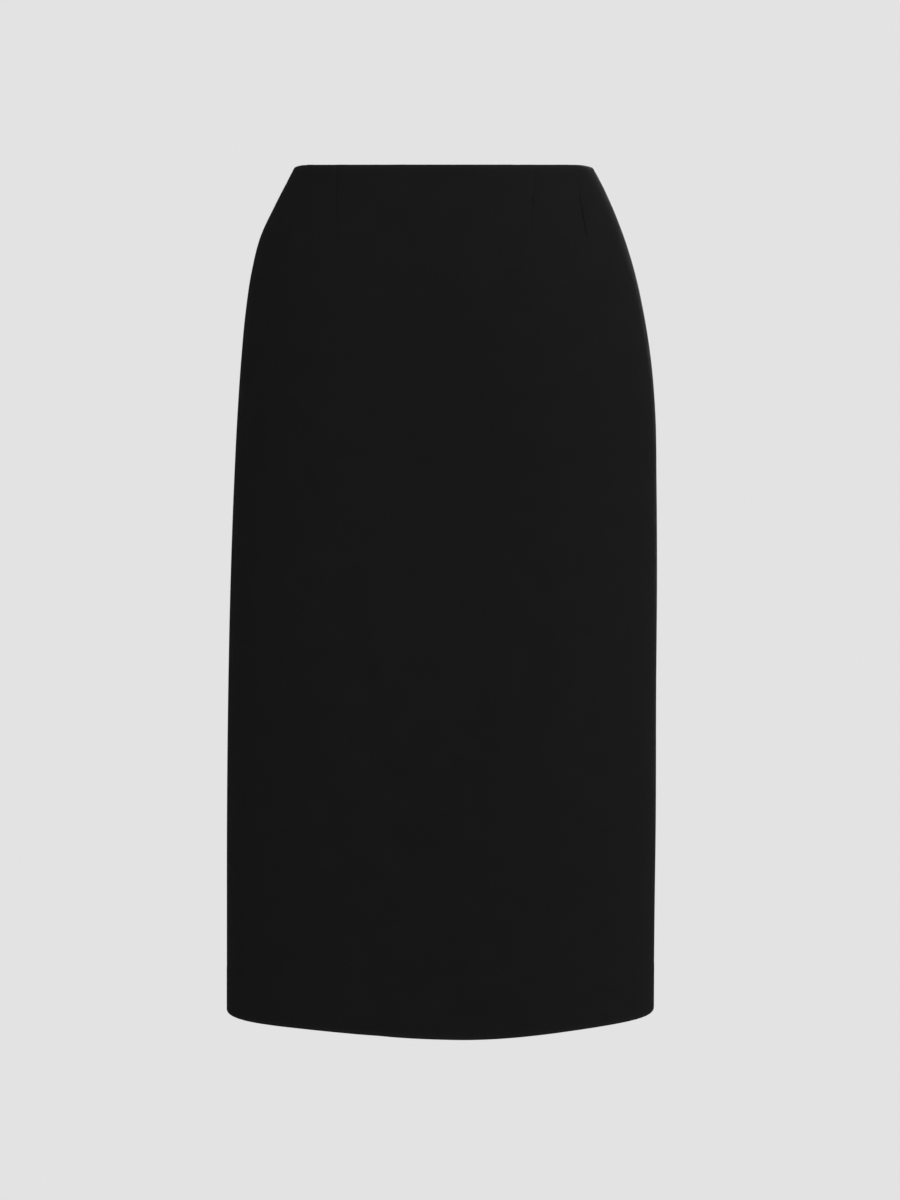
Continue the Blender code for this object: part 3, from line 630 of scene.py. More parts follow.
def cloth_rows(sizes):
    """Rows along the turned profile, whose straight stretches are joined by folds at the waist and hem. One
    more lies just above the vent's top, for the snip."""
    half = sizes.cloth / 2
    radius = (TURNED_DEPTH - half) / 2
    waist, hem = half + radius, LENGTH - half - radius
    marks = np.array([[waist, *np.array(ROW_MARKS) * MM, hem]])
    outside = spread(marks, ROW_CELLS)[0, 1:-1]
    outside = np.insert(outside, np.argmin(np.abs(outside - VENT_TOP)), VENT_TOP - VENT_CUT)
    top = np.linspace(WAIST_TURNING, waist, WAIST_CELLS + 1)[:-1]
    foot = np.linspace(hem, LENGTH - HEM_TURNING, HEM_CELLS + 1)[1:]
    return Rows(*np.concatenate([
        straight_rows(top, TURNED_DEPTH, -1.0, True),
        fold_rows(waist, -1, half, radius),
        straight_rows(outside, half, 1.0, False),
        fold_rows(hem, 1, half, radius)[:, ::-1],
        straight_rows(foot, TURNED_DEPTH, -1.0, True),
    ], axis=1))


def side_fold(panel, side, level, sizes):
    """Distance at which a side seam's fold starts, for its outermost face to end half a gap short of the
    seam."""
    return seam_distance(panel, side, level) - SEAM_GAP / 2 - sizes.cloth / 2 - SEAM_RADIUS


def centre_fold(level, sizes):
    """Distance at which the centre back's fold starts; it runs towards the centre line."""
    return half_opening(level) + sizes.cloth / 2 + SEAM_RADIUS


def centre_allowance(panel, level, sizes):
    """Width of a back's allowance at the centre: the left back's grows to a deep facing in the vent."""
    deeper = VENT_WIDTH - sizes.allowance if panel == LEFT else 0.0
    return sizes.allowance + deeper * smooth_step((level - VENT_TOP) / VENT_SLANT)


def below_snip(level):
    """Whether each level is below the snip that frees the underlap, as a column."""
    return level[:, None] >= VENT_TOP - VENT_CUT / 2


def fold_columns(start, allowance, cells):
    """Columns past the start of a seam's fold: half a circle, then back over the allowance."""
    turn = np.linspace(0, math.pi, FOLD_CELLS + 1)[1:]
    kind = np.where(np.arange(FOLD_CELLS) < FOLD_CELLS / 2, ROUND_SEAM, ALLOWANCE)
    start = start[:, None]
    back = np.linspace(0, 1, cells + 1)[1:] * allowance[:, None]
    return np.concatenate([
        stacked(start + SEAM_RADIUS * np.sin(turn), start + SEAM_RADIUS * turn,
                SEAM_RADIUS * (1 - np.cos(turn)), kind),
        stacked(start - back, start + SEAM_RADIUS * math.pi + back, 2 * SEAM_RADIUS, ALLOWANCE),
    ], axis=2)


def side_columns(panel, side, first, level, cells, sizes):
    """One side of a panel, from marks near its centre, past its darts to the side seam and round it to
    the raw edge of the allowance."""
    start = side_fold(panel, side, level, sizes)
    darts = [dart_line(dart, level)[:, None] + np.array(DART_MARKS) * MM for dart in DARTS[panel]]
    seam = start[:, None] + np.array(SEAM_MARKS) * MM
    distance = spread(np.concatenate([first, *darts, seam], axis=1), cells)
    allowance = np.full(len(level), sizes.allowance)
    return np.concatenate([stacked(distance, distance, 0.0, OUTER),
                           fold_columns(start, allowance, SIDE_ALLOWANCE_CELLS)], axis=2)


def front_columns(level, sizes):
    """Both sides of the front, the wearer's right one mirrored."""
    middle = np.zeros((len(level), 1))
    right, left = (side_columns(FRONT, side, middle, level, FRONT_CELLS, sizes) for side in SIDES[FRONT])
    return np.concatenate([MIRROR * right[:, :, :0:-1], left], axis=2)


def back_columns(panel, level, sizes):
    """One back, from the raw edge beyond the centre back to the raw edge at the side seam. The centre's
    fold is a seam's fold mirrored. In the vent the right back has none, and runs on as the underlap."""
    side, = SIDES[panel]
    start = centre_fold(level, sizes)
    if panel == RIGHT:
        start -= LAP_SLIP * in_vent(level, LAP_REACH)
    marks = np.tile(np.array(CENTRE_MARKS) * MM, (len(level), 1))
    first = np.concatenate([start[:, None], marks], axis=1)
    half = side_columns(panel, side, first, level, BACK_CELLS, sizes)
    beyond = MIRROR * fold_columns(np.zeros(len(level)), centre_allowance(panel, level, sizes),
                                   CENTRE_ALLOWANCE_CELLS)
    beyond[:2] += start[:, None]
    if panel == RIGHT:
        lap = np.linspace(start, -VENT_WIDTH, beyond.shape[2] + 1, axis=1)[:, 1:]
        beyond = np.where(below_snip(level), stacked(lap, lap, 0.0, UNDERLAP), beyond)
    return np.array([side, side, 1, 1])[:, None, None] * np.concatenate([beyond[:, :, ::-1], half], axis=2)


def cell_most(values):
    """The greatest of the values at each cell's four corners."""
    values = np.maximum(values[:-1], values[1:])
    return np.maximum(values[:, :-1], values[:, 1:])


def grid_faces(present):
    """Quads of a grid of points, for the cells that are present."""
    rows, columns = present.shape
    number = np.arange((rows + 1) * (columns + 1)).reshape(rows + 1, columns + 1)
    corners = (number[:-1, :-1], number[1:, :-1], number[1:, 1:], number[:-1, 1:])
    return np.stack([corner[present] for corner in corners], axis=1)


def cloth_patch(panel, arc, level, depth, present=None, across=None, down=None, wear=0.0):
    """A grid on a panel's cloth, as a shape and, for each of its points, the two of its place as cut and
    its wear. Columns that run against the arcs are turned round, so that faces point outwards. Only points
    in use are kept."""
    across = arc if across is None else across
    down = level if down is None else down
    layers = stacked(arc, level, depth, across, down, wear)
    if present is None:
        present = np.ones((layers.shape[1] - 1, layers.shape[2] - 1), dtype=bool)
    if layers[0, 0, 0] > layers[0, 0, -1]:
        layers, present = layers[:, :, ::-1], present[:, ::-1]
    used, faces = np.unique(grid_faces(present), return_inverse=True)
    points = cloth_points(panel, *layers[:3]).reshape(-1, 3)[used]
    return (points, [faces.reshape(-1, 4)]), layers[3:].reshape(3, -1)[:, used]


def joined(shapes):
    """Several shapes as one. A shape is its points and a list of arrays of faces."""
    starts = np.cumsum([0] + [len(points) for points, faces in shapes])
    return (np.concatenate([points for points, faces in shapes]),
            [block + start for start, (points, faces) in zip(starts, shapes) for block in faces])


def new_object(name, shape, material):
    """An object with its place in its mesh."""
    points, faces = shape
    mesh = bpy.data.meshes.new(name)
    mesh.from_pydata(points.tolist(), [], [face for block in faces for face in block.tolist()])
    mesh.shade_smooth()
    mesh.materials.append(material)
    made = bpy.data.objects.new(name, mesh)
    bpy.context.scene.collection.objects.link(made)
    return made


def new_piece(name, shape, material, body=SKIRT_BODY, node=None):
    """A piece that rides on a body and may stand for a node of the solids."""
    piece = new_object(name, shape, material)
    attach(piece, body)
    if node:
        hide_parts(node)
    return piece


def add_wear(piece, wear):
    """Give a piece how worn each vertex is, from 0 to 1, for its materials to read."""
    piece.data.attributes.new("wear", "FLOAT", "POINT").data.foreach_set("value", wear.astype(np.float32))


def woven_piece(name, patches, thickness, material, node=None):
    """A piece of cloth from patches. Its places as cut are its UV map, and Solidify gives it its thickness,
    half to each side of the patches."""
    piece = new_piece(name, joined([shape for shape, layers in patches]), material, node=node)
    across, down, wear = np.concatenate([layers for shape, layers in patches], axis=1)
    corners = np.empty(len(piece.data.loops), dtype=np.int32)
    piece.data.loops.foreach_get("vertex_index", corners)
    places = np.stack([across[corners], down[corners]], axis=1)
    piece.data.uv_layers.new(name="cloth").data.foreach_set("uv", places.ravel())
    add_wear(piece, wear)
    solidify = piece.modifiers.new("Cloth", "SOLIDIFY")
    solidify.thickness, solidify.offset = thickness, 0
    return piece


def add_panel(panel, name, node, sizes, colours):
    """One panel: a grid of its rows and columns. Cells that would be turned both at a seam and at the
    waist or hem are left out, and so are those of the snip that frees the underlap."""
    rows = cloth_rows(sizes)
    columns = front_columns(rows.level, sizes) if panel == FRONT else back_columns(panel, rows.level, sizes)
    arc, across, inset, kind = columns
    level = rows.level[:, None] + inset * rows.inward_level[:, None]
    depth = rows.depth[:, None] + inset * rows.inward_depth[:, None]
    if panel == RIGHT:
        slant = VENT_SLANT * np.clip(-arc / VENT_WIDTH, 0, 1) * below_snip(rows.level)
        level = level + slant * np.clip((LENGTH - HEM_TURNING - level) / (VENT_HEIGHT - HEM_TURNING), 0, 1)
    turned = np.broadcast_to(rows.turned[:, None], kind.shape)
    lap = kind == UNDERLAP
    snip = lap[:-1] != lap[1:]
    present = (cell_most(turned) == 0) | (cell_most(kind) < ALLOWANCE)
    present &= ~(snip[:, :-1] & snip[:, 1:])

    run = np.concatenate([[0], np.cumsum(np.hypot(np.diff(rows.level), np.diff(rows.depth)))])
    first = np.argmin(rows.turned)
    down = (run + rows.level[first] - run[first])[:, None]
    wear = bell(np.minimum(level, LENGTH - level), EDGE_WEAR)
    if panel != FRONT:
        wear = np.maximum(wear, bell(arc, VENT_WEAR) * in_vent(level, VENT_WEAR_START))
    patch = cloth_patch(panel, arc, level, depth, present, across, down, wear)
    piece = woven_piece(name, [patch], sizes.cloth, crepe("crepe", colours), node)
    piece.data.materials.append(crepe("crepe_wrong_side", colours, WRONG_SIDE_TONE))
    piece.modifiers["Cloth"].material_offset = piece.modifiers["Cloth"].material_offset_rim = 1
    return piece


def add_dart_folds(panel, name, sizes, colours):
    """The cloth taken in by the darts, pressed flat towards the centre: wedges whose width falls evenly
    from half the intake at the waist to nothing at the point."""
    down, across = INTAKE_POINTS
    patches = []
    for side in SIDES[panel]:
        for dart in DARTS[panel]:
            level = np.linspace(INTAKE_TOP, dart.length * MM - INTAKE_END, down)[:, None]
            width = dart.intake * MM * (1 - level / (dart.length * MM))
            distance = dart_line(dart, level) - width * np.linspace(0, 1, across)
            patches.append(cloth_patch(panel, side * distance, level, INTAKE_DEPTH))
    woven_piece(name, patches, sizes.cloth, crepe("crepe_wrong_side", colours, WRONG_SIDE_TONE))


class Finish:
    """A material in the making: pattern nodes that end in one shader. It is made anew each time, so that
    a changed colour takes effect, and is named unlike the frame's slots, which have materials already."""

    def __init__(self, name, colour, look=None):
        self.colour, self.look = colour, look
        self.material = bpy.data.materials.get(name) or bpy.data.materials.new(name)
        self.material.diffuse_color = (*colour, 1.0)
        self.material.use_nodes = True
        self.tree = self.material.node_tree
        self.tree.nodes.clear()

    def add(self, kind, inputs, output=0, **settings):
        """An output of a new node; an input is a number, a colour or another node's output."""
        node = self.tree.nodes.new("ShaderNode" + kind)
        for name, value in settings.items():
            setattr(node, name, value)
        for name, value in inputs.items():
            if isinstance(value, bpy.types.NodeSocket):
                self.tree.links.new(value, node.inputs[name])
            else:
                node.inputs[name].default_value = value
        return node.outputs[output]

    def place(self):
        """Place on the piece, in metres."""
        return self.add("TexCoord", {}, "Object")

    def cut_place(self):
        """Place on the cloth as cut, in millimetres."""
        return self.add("VectorMath", {0: self.add("UVMap", {}, uv_map="cloth"), "Scale": 1 / MM},
                        operation="SCALE")

    def wear(self):
        """How worn the piece is, from 0 to 1."""
        return self.add("Attribute", {}, "Fac", attribute_name="wear")

    def noise(self, place, scale=None, **more):
        """Soft lumps, at the look's scale unless another is given."""
        return self.add("TexNoise", {"Vector": place, "Scale": scale or self.look.scale, **more})

    def threads(self, place, scale, way):
        """Wavering threads across one way of the cloth."""
        return self.add("TexWave", {"Vector": place, "Scale": scale, "Distortion": 3.0, "Detail Scale": 2.0},
                        "Fac", wave_type="BANDS", bands_direction=way)

    def maths(self, operation, *values):
        """The result of one of the Math node's operations."""
        return self.add("Math", dict(enumerate(values)), operation=operation)

    def ramp(self, value, start=0.0, end=1.0, low=0.0, high=1.0):
        """A number that runs from low to high as a value runs from start to end, and stays there."""
        return self.add("MapRange", {"Value": value, "From Min": start, "From Max": end,
                                     "To Min": low, "To Max": high})

    def roughness(self, pattern):
        """The look's roughness over a pattern."""
        low, high = self.look.roughness
        return self.ramp(pattern, low=low, high=high)

    def toned(self, share):
        """A share of the colour's brightness."""
        return (*(channel * share for channel in self.colour), 1.0)

    def blend(self, factor, first, second):
        """A colour that runs from one to another as a factor runs from 0 to 1."""
        return self.add("Mix", {"Factor": factor, 6: first, 7: second}, 2, data_type="RGBA")

    def tones(self, pattern, share=1.0):
        """The look's tones over a pattern, all times a share."""
        return self.blend(pattern, *(self.toned(tone * share) for tone in self.look.tones))

    def surfaced(self, shader):
        """The material, with a shader as its surface."""
        self.tree.links.new(shader, self.tree.nodes.new("ShaderNodeOutputMaterial").inputs["Surface"])
        return self.material

    def done(self, colour, roughness, height=None):
        """The material, with the look's specular level and, over a height from 0 to 1, its relief."""
        inputs = {"Base Color": colour, "Roughness": roughness, "Specular IOR Level": self.look.specular}
        if height is not None:
            strength, distance = self.look.relief
            inputs["Normal"] = self.add("Bump", {"Height": height, "Strength": strength,
                                                 "Distance": distance})
        return self.surfaced(self.add("BsdfPrincipled", inputs))


def crepe(name, colours, share=1.0):
    """Wool crepe: pebbled grain over a fine plain weave, with painted shade in their low places and painted
    light on their tops, slow changes of tone, and edges that are a little smoother where they rub and paler,
    partly from wear and partly as painted sheen."""
    finish = Finish(name, colours.cloth, CREPE)
    place, wear = finish.cut_place(), finish.wear()
    grain = finish.noise(place, Detail=3.0, Roughness=0.6, Distortion=0.6)
    across, down = (finish.threads(place, scale, way) for scale, way in zip(CREPE_THREADS, "XY"))
    height = finish.maths("MULTIPLY_ADD", finish.maths("MAXIMUM", across, down), THREAD_HEIGHT, grain)
    # Painted shade and light: the colour is darker in the low places of the grain and threads and lighter on
    # their tops.
    shade = finish.maths("MULTIPLY", height, PAINTED_RELIEF_SHADE)
    clouds = finish.noise(place, CREPE_CLOUDS, Detail=3.0)
    shade = finish.maths("MULTIPLY_ADD", clouds, CLOUD_SHADE, shade)
    # Paler edges: partly wear, partly painted sheen.
    shade = finish.maths("MULTIPLY_ADD", wear, WEAR_AND_SHEEN_SHADE, shade)
    roughness = finish.maths("MULTIPLY_ADD", wear, -WEAR_GLOSS, finish.roughness(grain))
    return finish.done(finish.tones(finish.ramp(shade, start=DARKEST_SHADE), share), roughness, height)


def spun_thread(colours):
    """Spun sewing thread: fine twist in its gloss and in its colour, which is painted shade in the twist's
    low places and painted light on its high ones.
    """
    finish = Finish("thread", colours.thread, THREAD)
    twist = finish.noise(finish.place())
    # Painted shade and light: the colour follows the twist's height.
    return finish.done(finish.tones(twist), finish.roughness(twist), twist)


def woven_tape(colours):
    """Woven zip tape: a fine chevron of ribs, the sine of a zigzag across the tape plus the way down it.
    Its colour is lighter on the ribs' ridges and darker in their troughs, as painted light and shade.
    """
    finish = Finish("woven_tape", colours.tape, TAPE)
    across = finish.add("SeparateXYZ", {0: finish.cut_place()})
    down = across.node.outputs[1]
    slope = finish.maths("ADD", finish.maths("PINGPONG", across, TAPE_CHEVRON), down)
    ribs = finish.maths("SINE", finish.maths("MULTIPLY", slope, TAPE.scale))
    # Painted shade and light: the colour follows the ribs' height.
    return finish.done(finish.tones(finish.ramp(ribs)), finish.roughness(ribs), ribs)


def coil_nylon(colours):
    """Moulded nylon of the zip's coil: faint mottling in its gloss."""
    finish = Finish("coil_nylon", colours.nylon, NYLON)
    mottle = finish.noise(finish.place())
    return finish.done(finish.tones(mottle), finish.roughness(mottle))


def enamelled_metal(colours):
    """Black enamelled metal: slight orange peel, a gloss that is smoother in places, and edges where
    the enamel is rubbed and paler."""
    finish = Finish("enamelled_metal", colours.metal, METAL)
    patch, peel = finish.noise(finish.place()), finish.noise(finish.place(), PEEL_SCALE)
    rubbed = finish.ramp(finish.maths("MULTIPLY", finish.wear(), patch), *RUBBED)
    colour = finish.blend(rubbed, finish.tones(patch), finish.toned(RUBBED_TONE))
    return finish.done(colour, finish.roughness(patch), peel)


def tubes(centres, normals, radius, sides=4):
    """Tubes along paths: each ring is a circle about the path in the plane of the cloth's normal and the
    direction across the path. Both ends are closed."""
    along = np.gradient(centres, axis=1)
    across = np.cross(along, normals)
    across /= np.linalg.norm(across, axis=-1, keepdims=True)
    upward = np.cross(across, along)
    upward /= np.linalg.norm(upward, axis=-1, keepdims=True)
    turn = circle(sides) + math.pi / sides
    offset = np.cos(turn)[:, None] * across[:, :, None] + np.sin(turn)[:, None] * upward[:, :, None]
    points = centres[:, :, None] + radius * offset
    number = np.arange(points[..., 0].size).reshape(points.shape[:3])
    near, far = number[:, :-1], number[:, 1:]
    quads = np.stack([near, far, np.roll(far, -1, axis=2), np.roll(near, -1, axis=2)], axis=-1)
    caps = np.concatenate([number[:, 0, :], number[:, -1, ::-1]])
    return points.reshape(-1, 3), [quads.reshape(-1, 4), caps]


def strands(panel, arc, level, depth, radius, sides=4):
    """Tubes on the cloth, one for each row of places."""
    centres = cloth_points(panel, arc, level, np.broadcast_to(depth, arc.shape))
    return tubes(centres, cloth_normals(panel, arc, level), radius, sides)


def even_line(arc, level, step):
    """A line on the cloth resampled at an even step: its places, and unit directions along it."""
    arc, level = np.asarray(arc), np.asarray(level)
    lengths = np.concatenate([[0], np.cumsum(np.hypot(np.diff(arc), np.diff(level)))])
    at = np.linspace(0, lengths[-1], max(3, 1 + round(lengths[-1] / step)))
    arc, level = np.interp(at, lengths, arc), np.interp(at, lengths, level)
    along = np.stack([np.gradient(arc), np.gradient(level)], axis=1)
    return arc, level, along / np.linalg.norm(along, axis=1, keepdims=True)


def beside(line, along_by, across_by):
    """For each place of a line, the places that lie some way along it and across it from there."""
    arc, level, along = line
    return (arc[:, None] + along[:, :1] * along_by - along[:, 1:] * across_by,
            level[:, None] + along[:, 1:] * along_by + along[:, :1] * across_by)


def alternate(count):
    """1 and -1 in turn, as a column."""
    return np.where(np.arange(count) % 2 == 0, 1, -1)[:, None]


# A raw edge: a line, the depth of the cloth's middle there, and the side of the line that the cloth is on.
Edge = namedtuple("Edge", "arc level depth inward")


def overlock(panel, edge, sizes):
    """Overlock stitches over a raw edge: a strand slants over each face for every stitch, and a looped
    thread runs along the edge and another along the needle's line on each face."""
    pitch, width = sizes.overlock_pitch, sizes.overlock_width
    half, radius = sizes.cloth / 2, sizes.thread / 2
    line = even_line(edge.arc, edge.level, pitch)
    part = np.array(OVERLOCK_PARTS)
    reach = width * (1 - part) - OVERLOCK_LAP * part
    rise = half + radius * np.array(OVERLOCK_RISES)
    shapes = []
    for face in (-1, 1):
        places = beside([values[:-1] for values in line], OVERLOCK_SLANT * pitch * part, edge.inward * reach)
        shapes.append(strands(panel, *places, edge.depth + face * rise, radius))
    line = even_line(line[0], line[1], pitch / 2)
    loops = LOOP_WEAVE * alternate(len(line[0]))
    for reach, rise in ((-LOOP_OUT, 0.0), (width, -half), (width, half)):
        arc, level = beside(line, 0.0, edge.inward * (reach + loops))
        shapes.append(strands(panel, arc.T, level.T, edge.depth + rise, radius * LOOP_SWELL))
    return joined(shapes)


def hand_stitches(panel, arc, level, reach, depths, sizes):
    """Hand stitches across a turning's edge: each steps over the edge from one depth to another, leans
    one way or the other in turn, and dips into the cloth at both ends."""
    pitch, radius = sizes.hand_pitch, sizes.thread / 2
    line = even_line(arc, np.full(len(arc), level), pitch)
    part = np.linspace(0, 1, len(HAND_RISES))
    start, over = HAND_STEP
    depth = depths[0] + (depths[1] - depths[0]) * smooth_step((part - start) / over)
    lean = HAND_LEAN * pitch * alternate(len(line[0]))
    places = beside(line, lean * (part - 0.5), reach * (part - 0.5))
    return strands(panel, *places, depth + radius * np.array(HAND_RISES), radius)


def running_stitches(panel, arc, level, depth, pitch, face, sizes):
    """A row of short stitches along a line: each is a strand that rises from a face and dips back."""
    radius = sizes.thread / 2
    along_by = pitch * np.linspace(-RUN_HALF, RUN_HALF, len(RUN_RISES))
    places = beside(even_line(arc, level, pitch), along_by, 0.0)
    return strands(panel, *places, depth + face * radius * np.array(RUN_RISES), radius)


def panel_edges(panel, sizes):
    """Every raw edge of a panel: of its allowances, its turnings and the underlap."""
    folded, single = sizes.cloth / 2 + 2 * SEAM_RADIUS, sizes.cloth / 2
    seam_points, turning_points = EDGE_POINTS
    level = np.linspace(EDGE_START, LENGTH - EDGE_START, seam_points)
    edges = [Edge(side * (side_fold(panel, side, level, sizes) - sizes.allowance), level, folded, -side)
             for side in SIDES[panel]]
    for measured, turning, inward in ((LENGTH, LENGTH - HEM_TURNING, 1), (WAIST_TURNING, WAIST_TURNING, -1)):
        low, high = panel_span(panel, measured)
        if panel == RIGHT and inward > 0:
            low = -VENT_WIDTH
        arc = np.linspace(low + EDGE_MARGIN, high - EDGE_MARGIN, turning_points)
        edges.append(Edge(arc, np.full_like(arc, turning), TURNED_DEPTH, inward))
    if panel == LEFT:
        level = np.linspace(EDGE_START, LENGTH - EDGE_START, FACING_POINTS)
        arc = -(centre_fold(level, sizes) + centre_allowance(panel, level, sizes))
        edges.append(Edge(arc, level, folded, -1))
    if panel == RIGHT:
        level = np.linspace(EDGE_START, VENT_TOP - SNIP_MARGIN, seam_points)
        edges.append(Edge(centre_fold(level, sizes) + sizes.allowance, level, folded, 1))
        down, across = LAP_POINTS
        from_hem, from_centre = LAP_MARGINS
        level = np.linspace(VENT_TOP + VENT_SLANT, LENGTH - from_hem, down)
        edges.append(Edge(np.full_like(level, -VENT_WIDTH), level, single, -1))
        arc = np.linspace(-VENT_WIDTH, -from_centre, across)
        edges.append(Edge(arc, VENT_TOP - VENT_SLANT * arc / VENT_WIDTH, single, 1))
    return edges


def add_overlock(panel, name, sizes, colours):
    """Overlock stitches round every raw edge of a panel."""
    shape = joined([overlock(panel, edge, sizes) for edge in panel_edges(panel, sizes)])
    new_piece(name, shape, spun_thread(colours))


def add_hand_stitches(sizes, colours):
    """Stitches that hold the hem's and the waist's turnings, and the slanting row at the top of the vent."""
    single, turned = sizes.cloth, TURNED_DEPTH + sizes.cloth / 2 + sizes.thread
    shapes = []
    for panel in (FRONT, LEFT, RIGHT):
        for measured, level, (reach, share), depths in (
                (LENGTH, LENGTH - HEM_TURNING, HAND_HEM, (single, turned)),
                (WAIST_TURNING, WAIST_TURNING, HAND_WAIST, (turned, single))):
            arc = np.array(panel_span(panel, measured)) * share
            shapes.append(hand_stitches(panel, arc, level, reach, depths, sizes))
    arc = np.array([-VENT_ROW_START, -VENT_WIDTH + VENT_ROW_DOWN])
    level = VENT_TOP + VENT_ROW_DOWN - (arc + VENT_ROW_START) * VENT_SLANT / VENT_WIDTH
    shapes.append(running_stitches(LEFT, arc, level, 0.0, VENT_PITCH, -1, sizes))
    new_piece("hand_stitches", joined(shapes), spun_thread(colours))


def add_zip_tape(panel, name, node, sizes, colours):
    """One tape: a flat strip behind the allowance whose two edges are slightly thicker, and the machine
    stitches that hold it."""
    side, = SIDES[panel]
    down, across = TAPE_POINTS
    level = np.linspace(TAPE_START, TAPE_END, down)[:, None]
    distance = np.linspace(TAPE_NEAR, TAPE_FAR, across)
    ridge = TAPE_RIDGE * sum(bell(distance - place, width) for place, width in TAPE_RIDGES)
    patch = cloth_patch(panel, side * distance, level, ZIP_DEPTH + TAPE_THICKNESS / 2 + ridge)
    woven_piece(name, [patch], TAPE_THICKNESS, woven_tape(colours), node)
    away, start, end = TAPE_STITCHES
    shape = running_stitches(panel, np.full(2, side * away), np.array([start, end]),
                             ZIP_DEPTH + TAPE_THICKNESS, TAPE_PITCH, 1, sizes)
    new_piece(name + "_stitches", shape, spun_thread(colours))


def add_coil(colours):
    """The closed teeth: two flattened spirals, one for each tape, whose turns lie between each other
    and lap at the centre, and a cord sewn through each."""
    turns = int((ZIP_END - COIL_START) / COIL_PITCH)
    turn = np.linspace(0, 2 * math.pi * turns, turns * COIL_POINTS + 1)[None]
    shapes = []
    for panel, side in ((LEFT, -1), (RIGHT, 1)):
        start = COIL_START + (COIL_PITCH / 2 if side > 0 else 0)
        centres = cloth_points(panel, side * (COIL_MIDDLE + COIL_HALF_WIDTH * np.cos(turn)),
                               start + turn / (2 * math.pi) * COIL_PITCH,
                               COIL_DEPTH + COIL_HALF_DEPTH * np.sin(turn))
        upright = np.broadcast_to([0.0, 0.0, 1.0], centres.shape)
        shapes.append(tubes(centres, upright, COIL_RADIUS, COIL_SIDES))
        level = np.linspace(COIL_START, ZIP_END, CORD_POINTS)[None]
        arc = np.full(level.shape, side * COIL_MIDDLE * CORD_OUT)
        shapes.append(strands(panel, arc, level, COIL_DEPTH, COIL_RADIUS * CORD_SWELL, CORD_SIDES))
    new_piece("zip_coil", joined(shapes), coil_nylon(colours), node="zip_chain")


def loft(rings):
    """A shape through closed rings of points, anticlockwise seen from above, with both ends closed."""
    number = np.arange(rings[..., 0].size).reshape(rings.shape[:2])
    near, far = number[:-1], number[1:]
    quads = np.stack([near, np.roll(near, -1, axis=1), np.roll(far, -1, axis=1), far], axis=-1)
    return rings.reshape(-1, 3), [quads.reshape(-1, 4), np.stack([number[0, ::-1], number[-1]])]


def rounded_block(size, squareness, taper=0.0):
    """A superellipsoid: each coordinate is a product of sines and cosines to a small power, so that it
    is a block with rounded edges. Its width grows by taper from the foot to the top."""
    rings, sides = BLOCK_POINTS
    latitude = np.linspace(-math.pi / 2, math.pi / 2, rings + 2)[1:-1, None]
    longitude = circle(sides)
    ring, up = signed_power(np.cos(latitude), squareness), signed_power(np.sin(latitude), squareness)
    across = ring * signed_power(np.cos(longitude), squareness) * (1 + taper * up)
    deep = ring * signed_power(np.sin(longitude), squareness)
    return loft(points_of(across * size[0], deep * size[1], up * size[2]) / 2)


def ring_about_x(radius, half_section, width, squareness):
    """A ring about the X axis with a rounded square section."""
    turns, sides = RING_POINTS
    turn, section = circle(turns)[:, None], circle(sides)
    across = width / 2 * signed_power(np.cos(section), squareness)
    out = radius + half_section * signed_power(np.sin(section), squareness)
    points = points_of(across, out * np.cos(turn), out * np.sin(turn))
    number = np.arange(turns * sides).reshape(turns, sides)
    ahead = np.roll(number, -1, axis=0)
    quads = np.stack([number, np.roll(number, -1, axis=1), np.roll(ahead, -1, axis=1), ahead], axis=-1)
    return points.reshape(-1, 3), [quads.reshape(-1, 4)]


def moved(shape, offset):
    """A shape's points moved by an offset."""
    return shape[0] + np.asarray(offset), shape[1]


def back_frame(drop, depth=0.0):
    """At the centre back: a place at a depth below the outer face, and how far the face leans back."""
    angle, drop = np.array([math.pi]), np.array([drop])
    normal = face_normal(angle, drop)[0]
    return outer_face(angle, drop)[0] - depth * normal, math.atan2(normal[2], normal[1])


def leaned(shape, place, lean):
    """A shape given across, out of the cloth and up along it, turned by the lean and moved to a place."""
    across, out, up = shape[0].T
    turned = np.stack([across, out * math.cos(lean) - up * math.sin(lean),
                       out * math.sin(lean) + up * math.cos(lean)], axis=1)
    return turned + place, shape[1]


def add_slider(colours):
    """The slider: a body with a waist, a post between the cloth's edges and a lug with a round hole."""
    place, lean = back_frame(SLIDER_DROP)
    thickness, height = SLIDER_BODY[1:]
    middle = thickness / 2 - SLIDER_BODY_DEPTH
    body = rounded_block(SLIDER_BODY, BODY_SQUARENESS, SLIDER_TAPER)
    narrower, lower, width = SLIDER_WAIST
    body[0][:, 0] *= 1 - narrower * bell(body[0][:, 2] + lower * height, width * height)
    post = rounded_block((POST[0], POST_PROUD - middle, POST[1]), POST_SQUARENESS)
    bar = (LUG_RADIUS - LUG_HOLE_RADIUS) / 2
    lug = ring_about_x(LUG_HOLE_RADIUS + bar, bar, POST[0], LUG_SQUARENESS)
    stem_top = PIVOT_HEIGHT - LUG_HOLE_RADIUS
    stem = rounded_block((POST[0], stem_top + STEM_ROOT, 2 * LUG_RADIUS * STEM_HEIGHT), STEM_SQUARENESS)
    shape = joined([
        moved(body, (0, middle, 0)),
        moved(post, (0, (middle + POST_PROUD) / 2, 0)),
        moved(stem, (0, (stem_top - STEM_ROOT) / 2, 0)),
        moved(lug, (0, PIVOT_HEIGHT, 0)),
    ])
    new_piece("slider", leaned(shape, place, lean), enamelled_metal(colours), node="zip_slider")


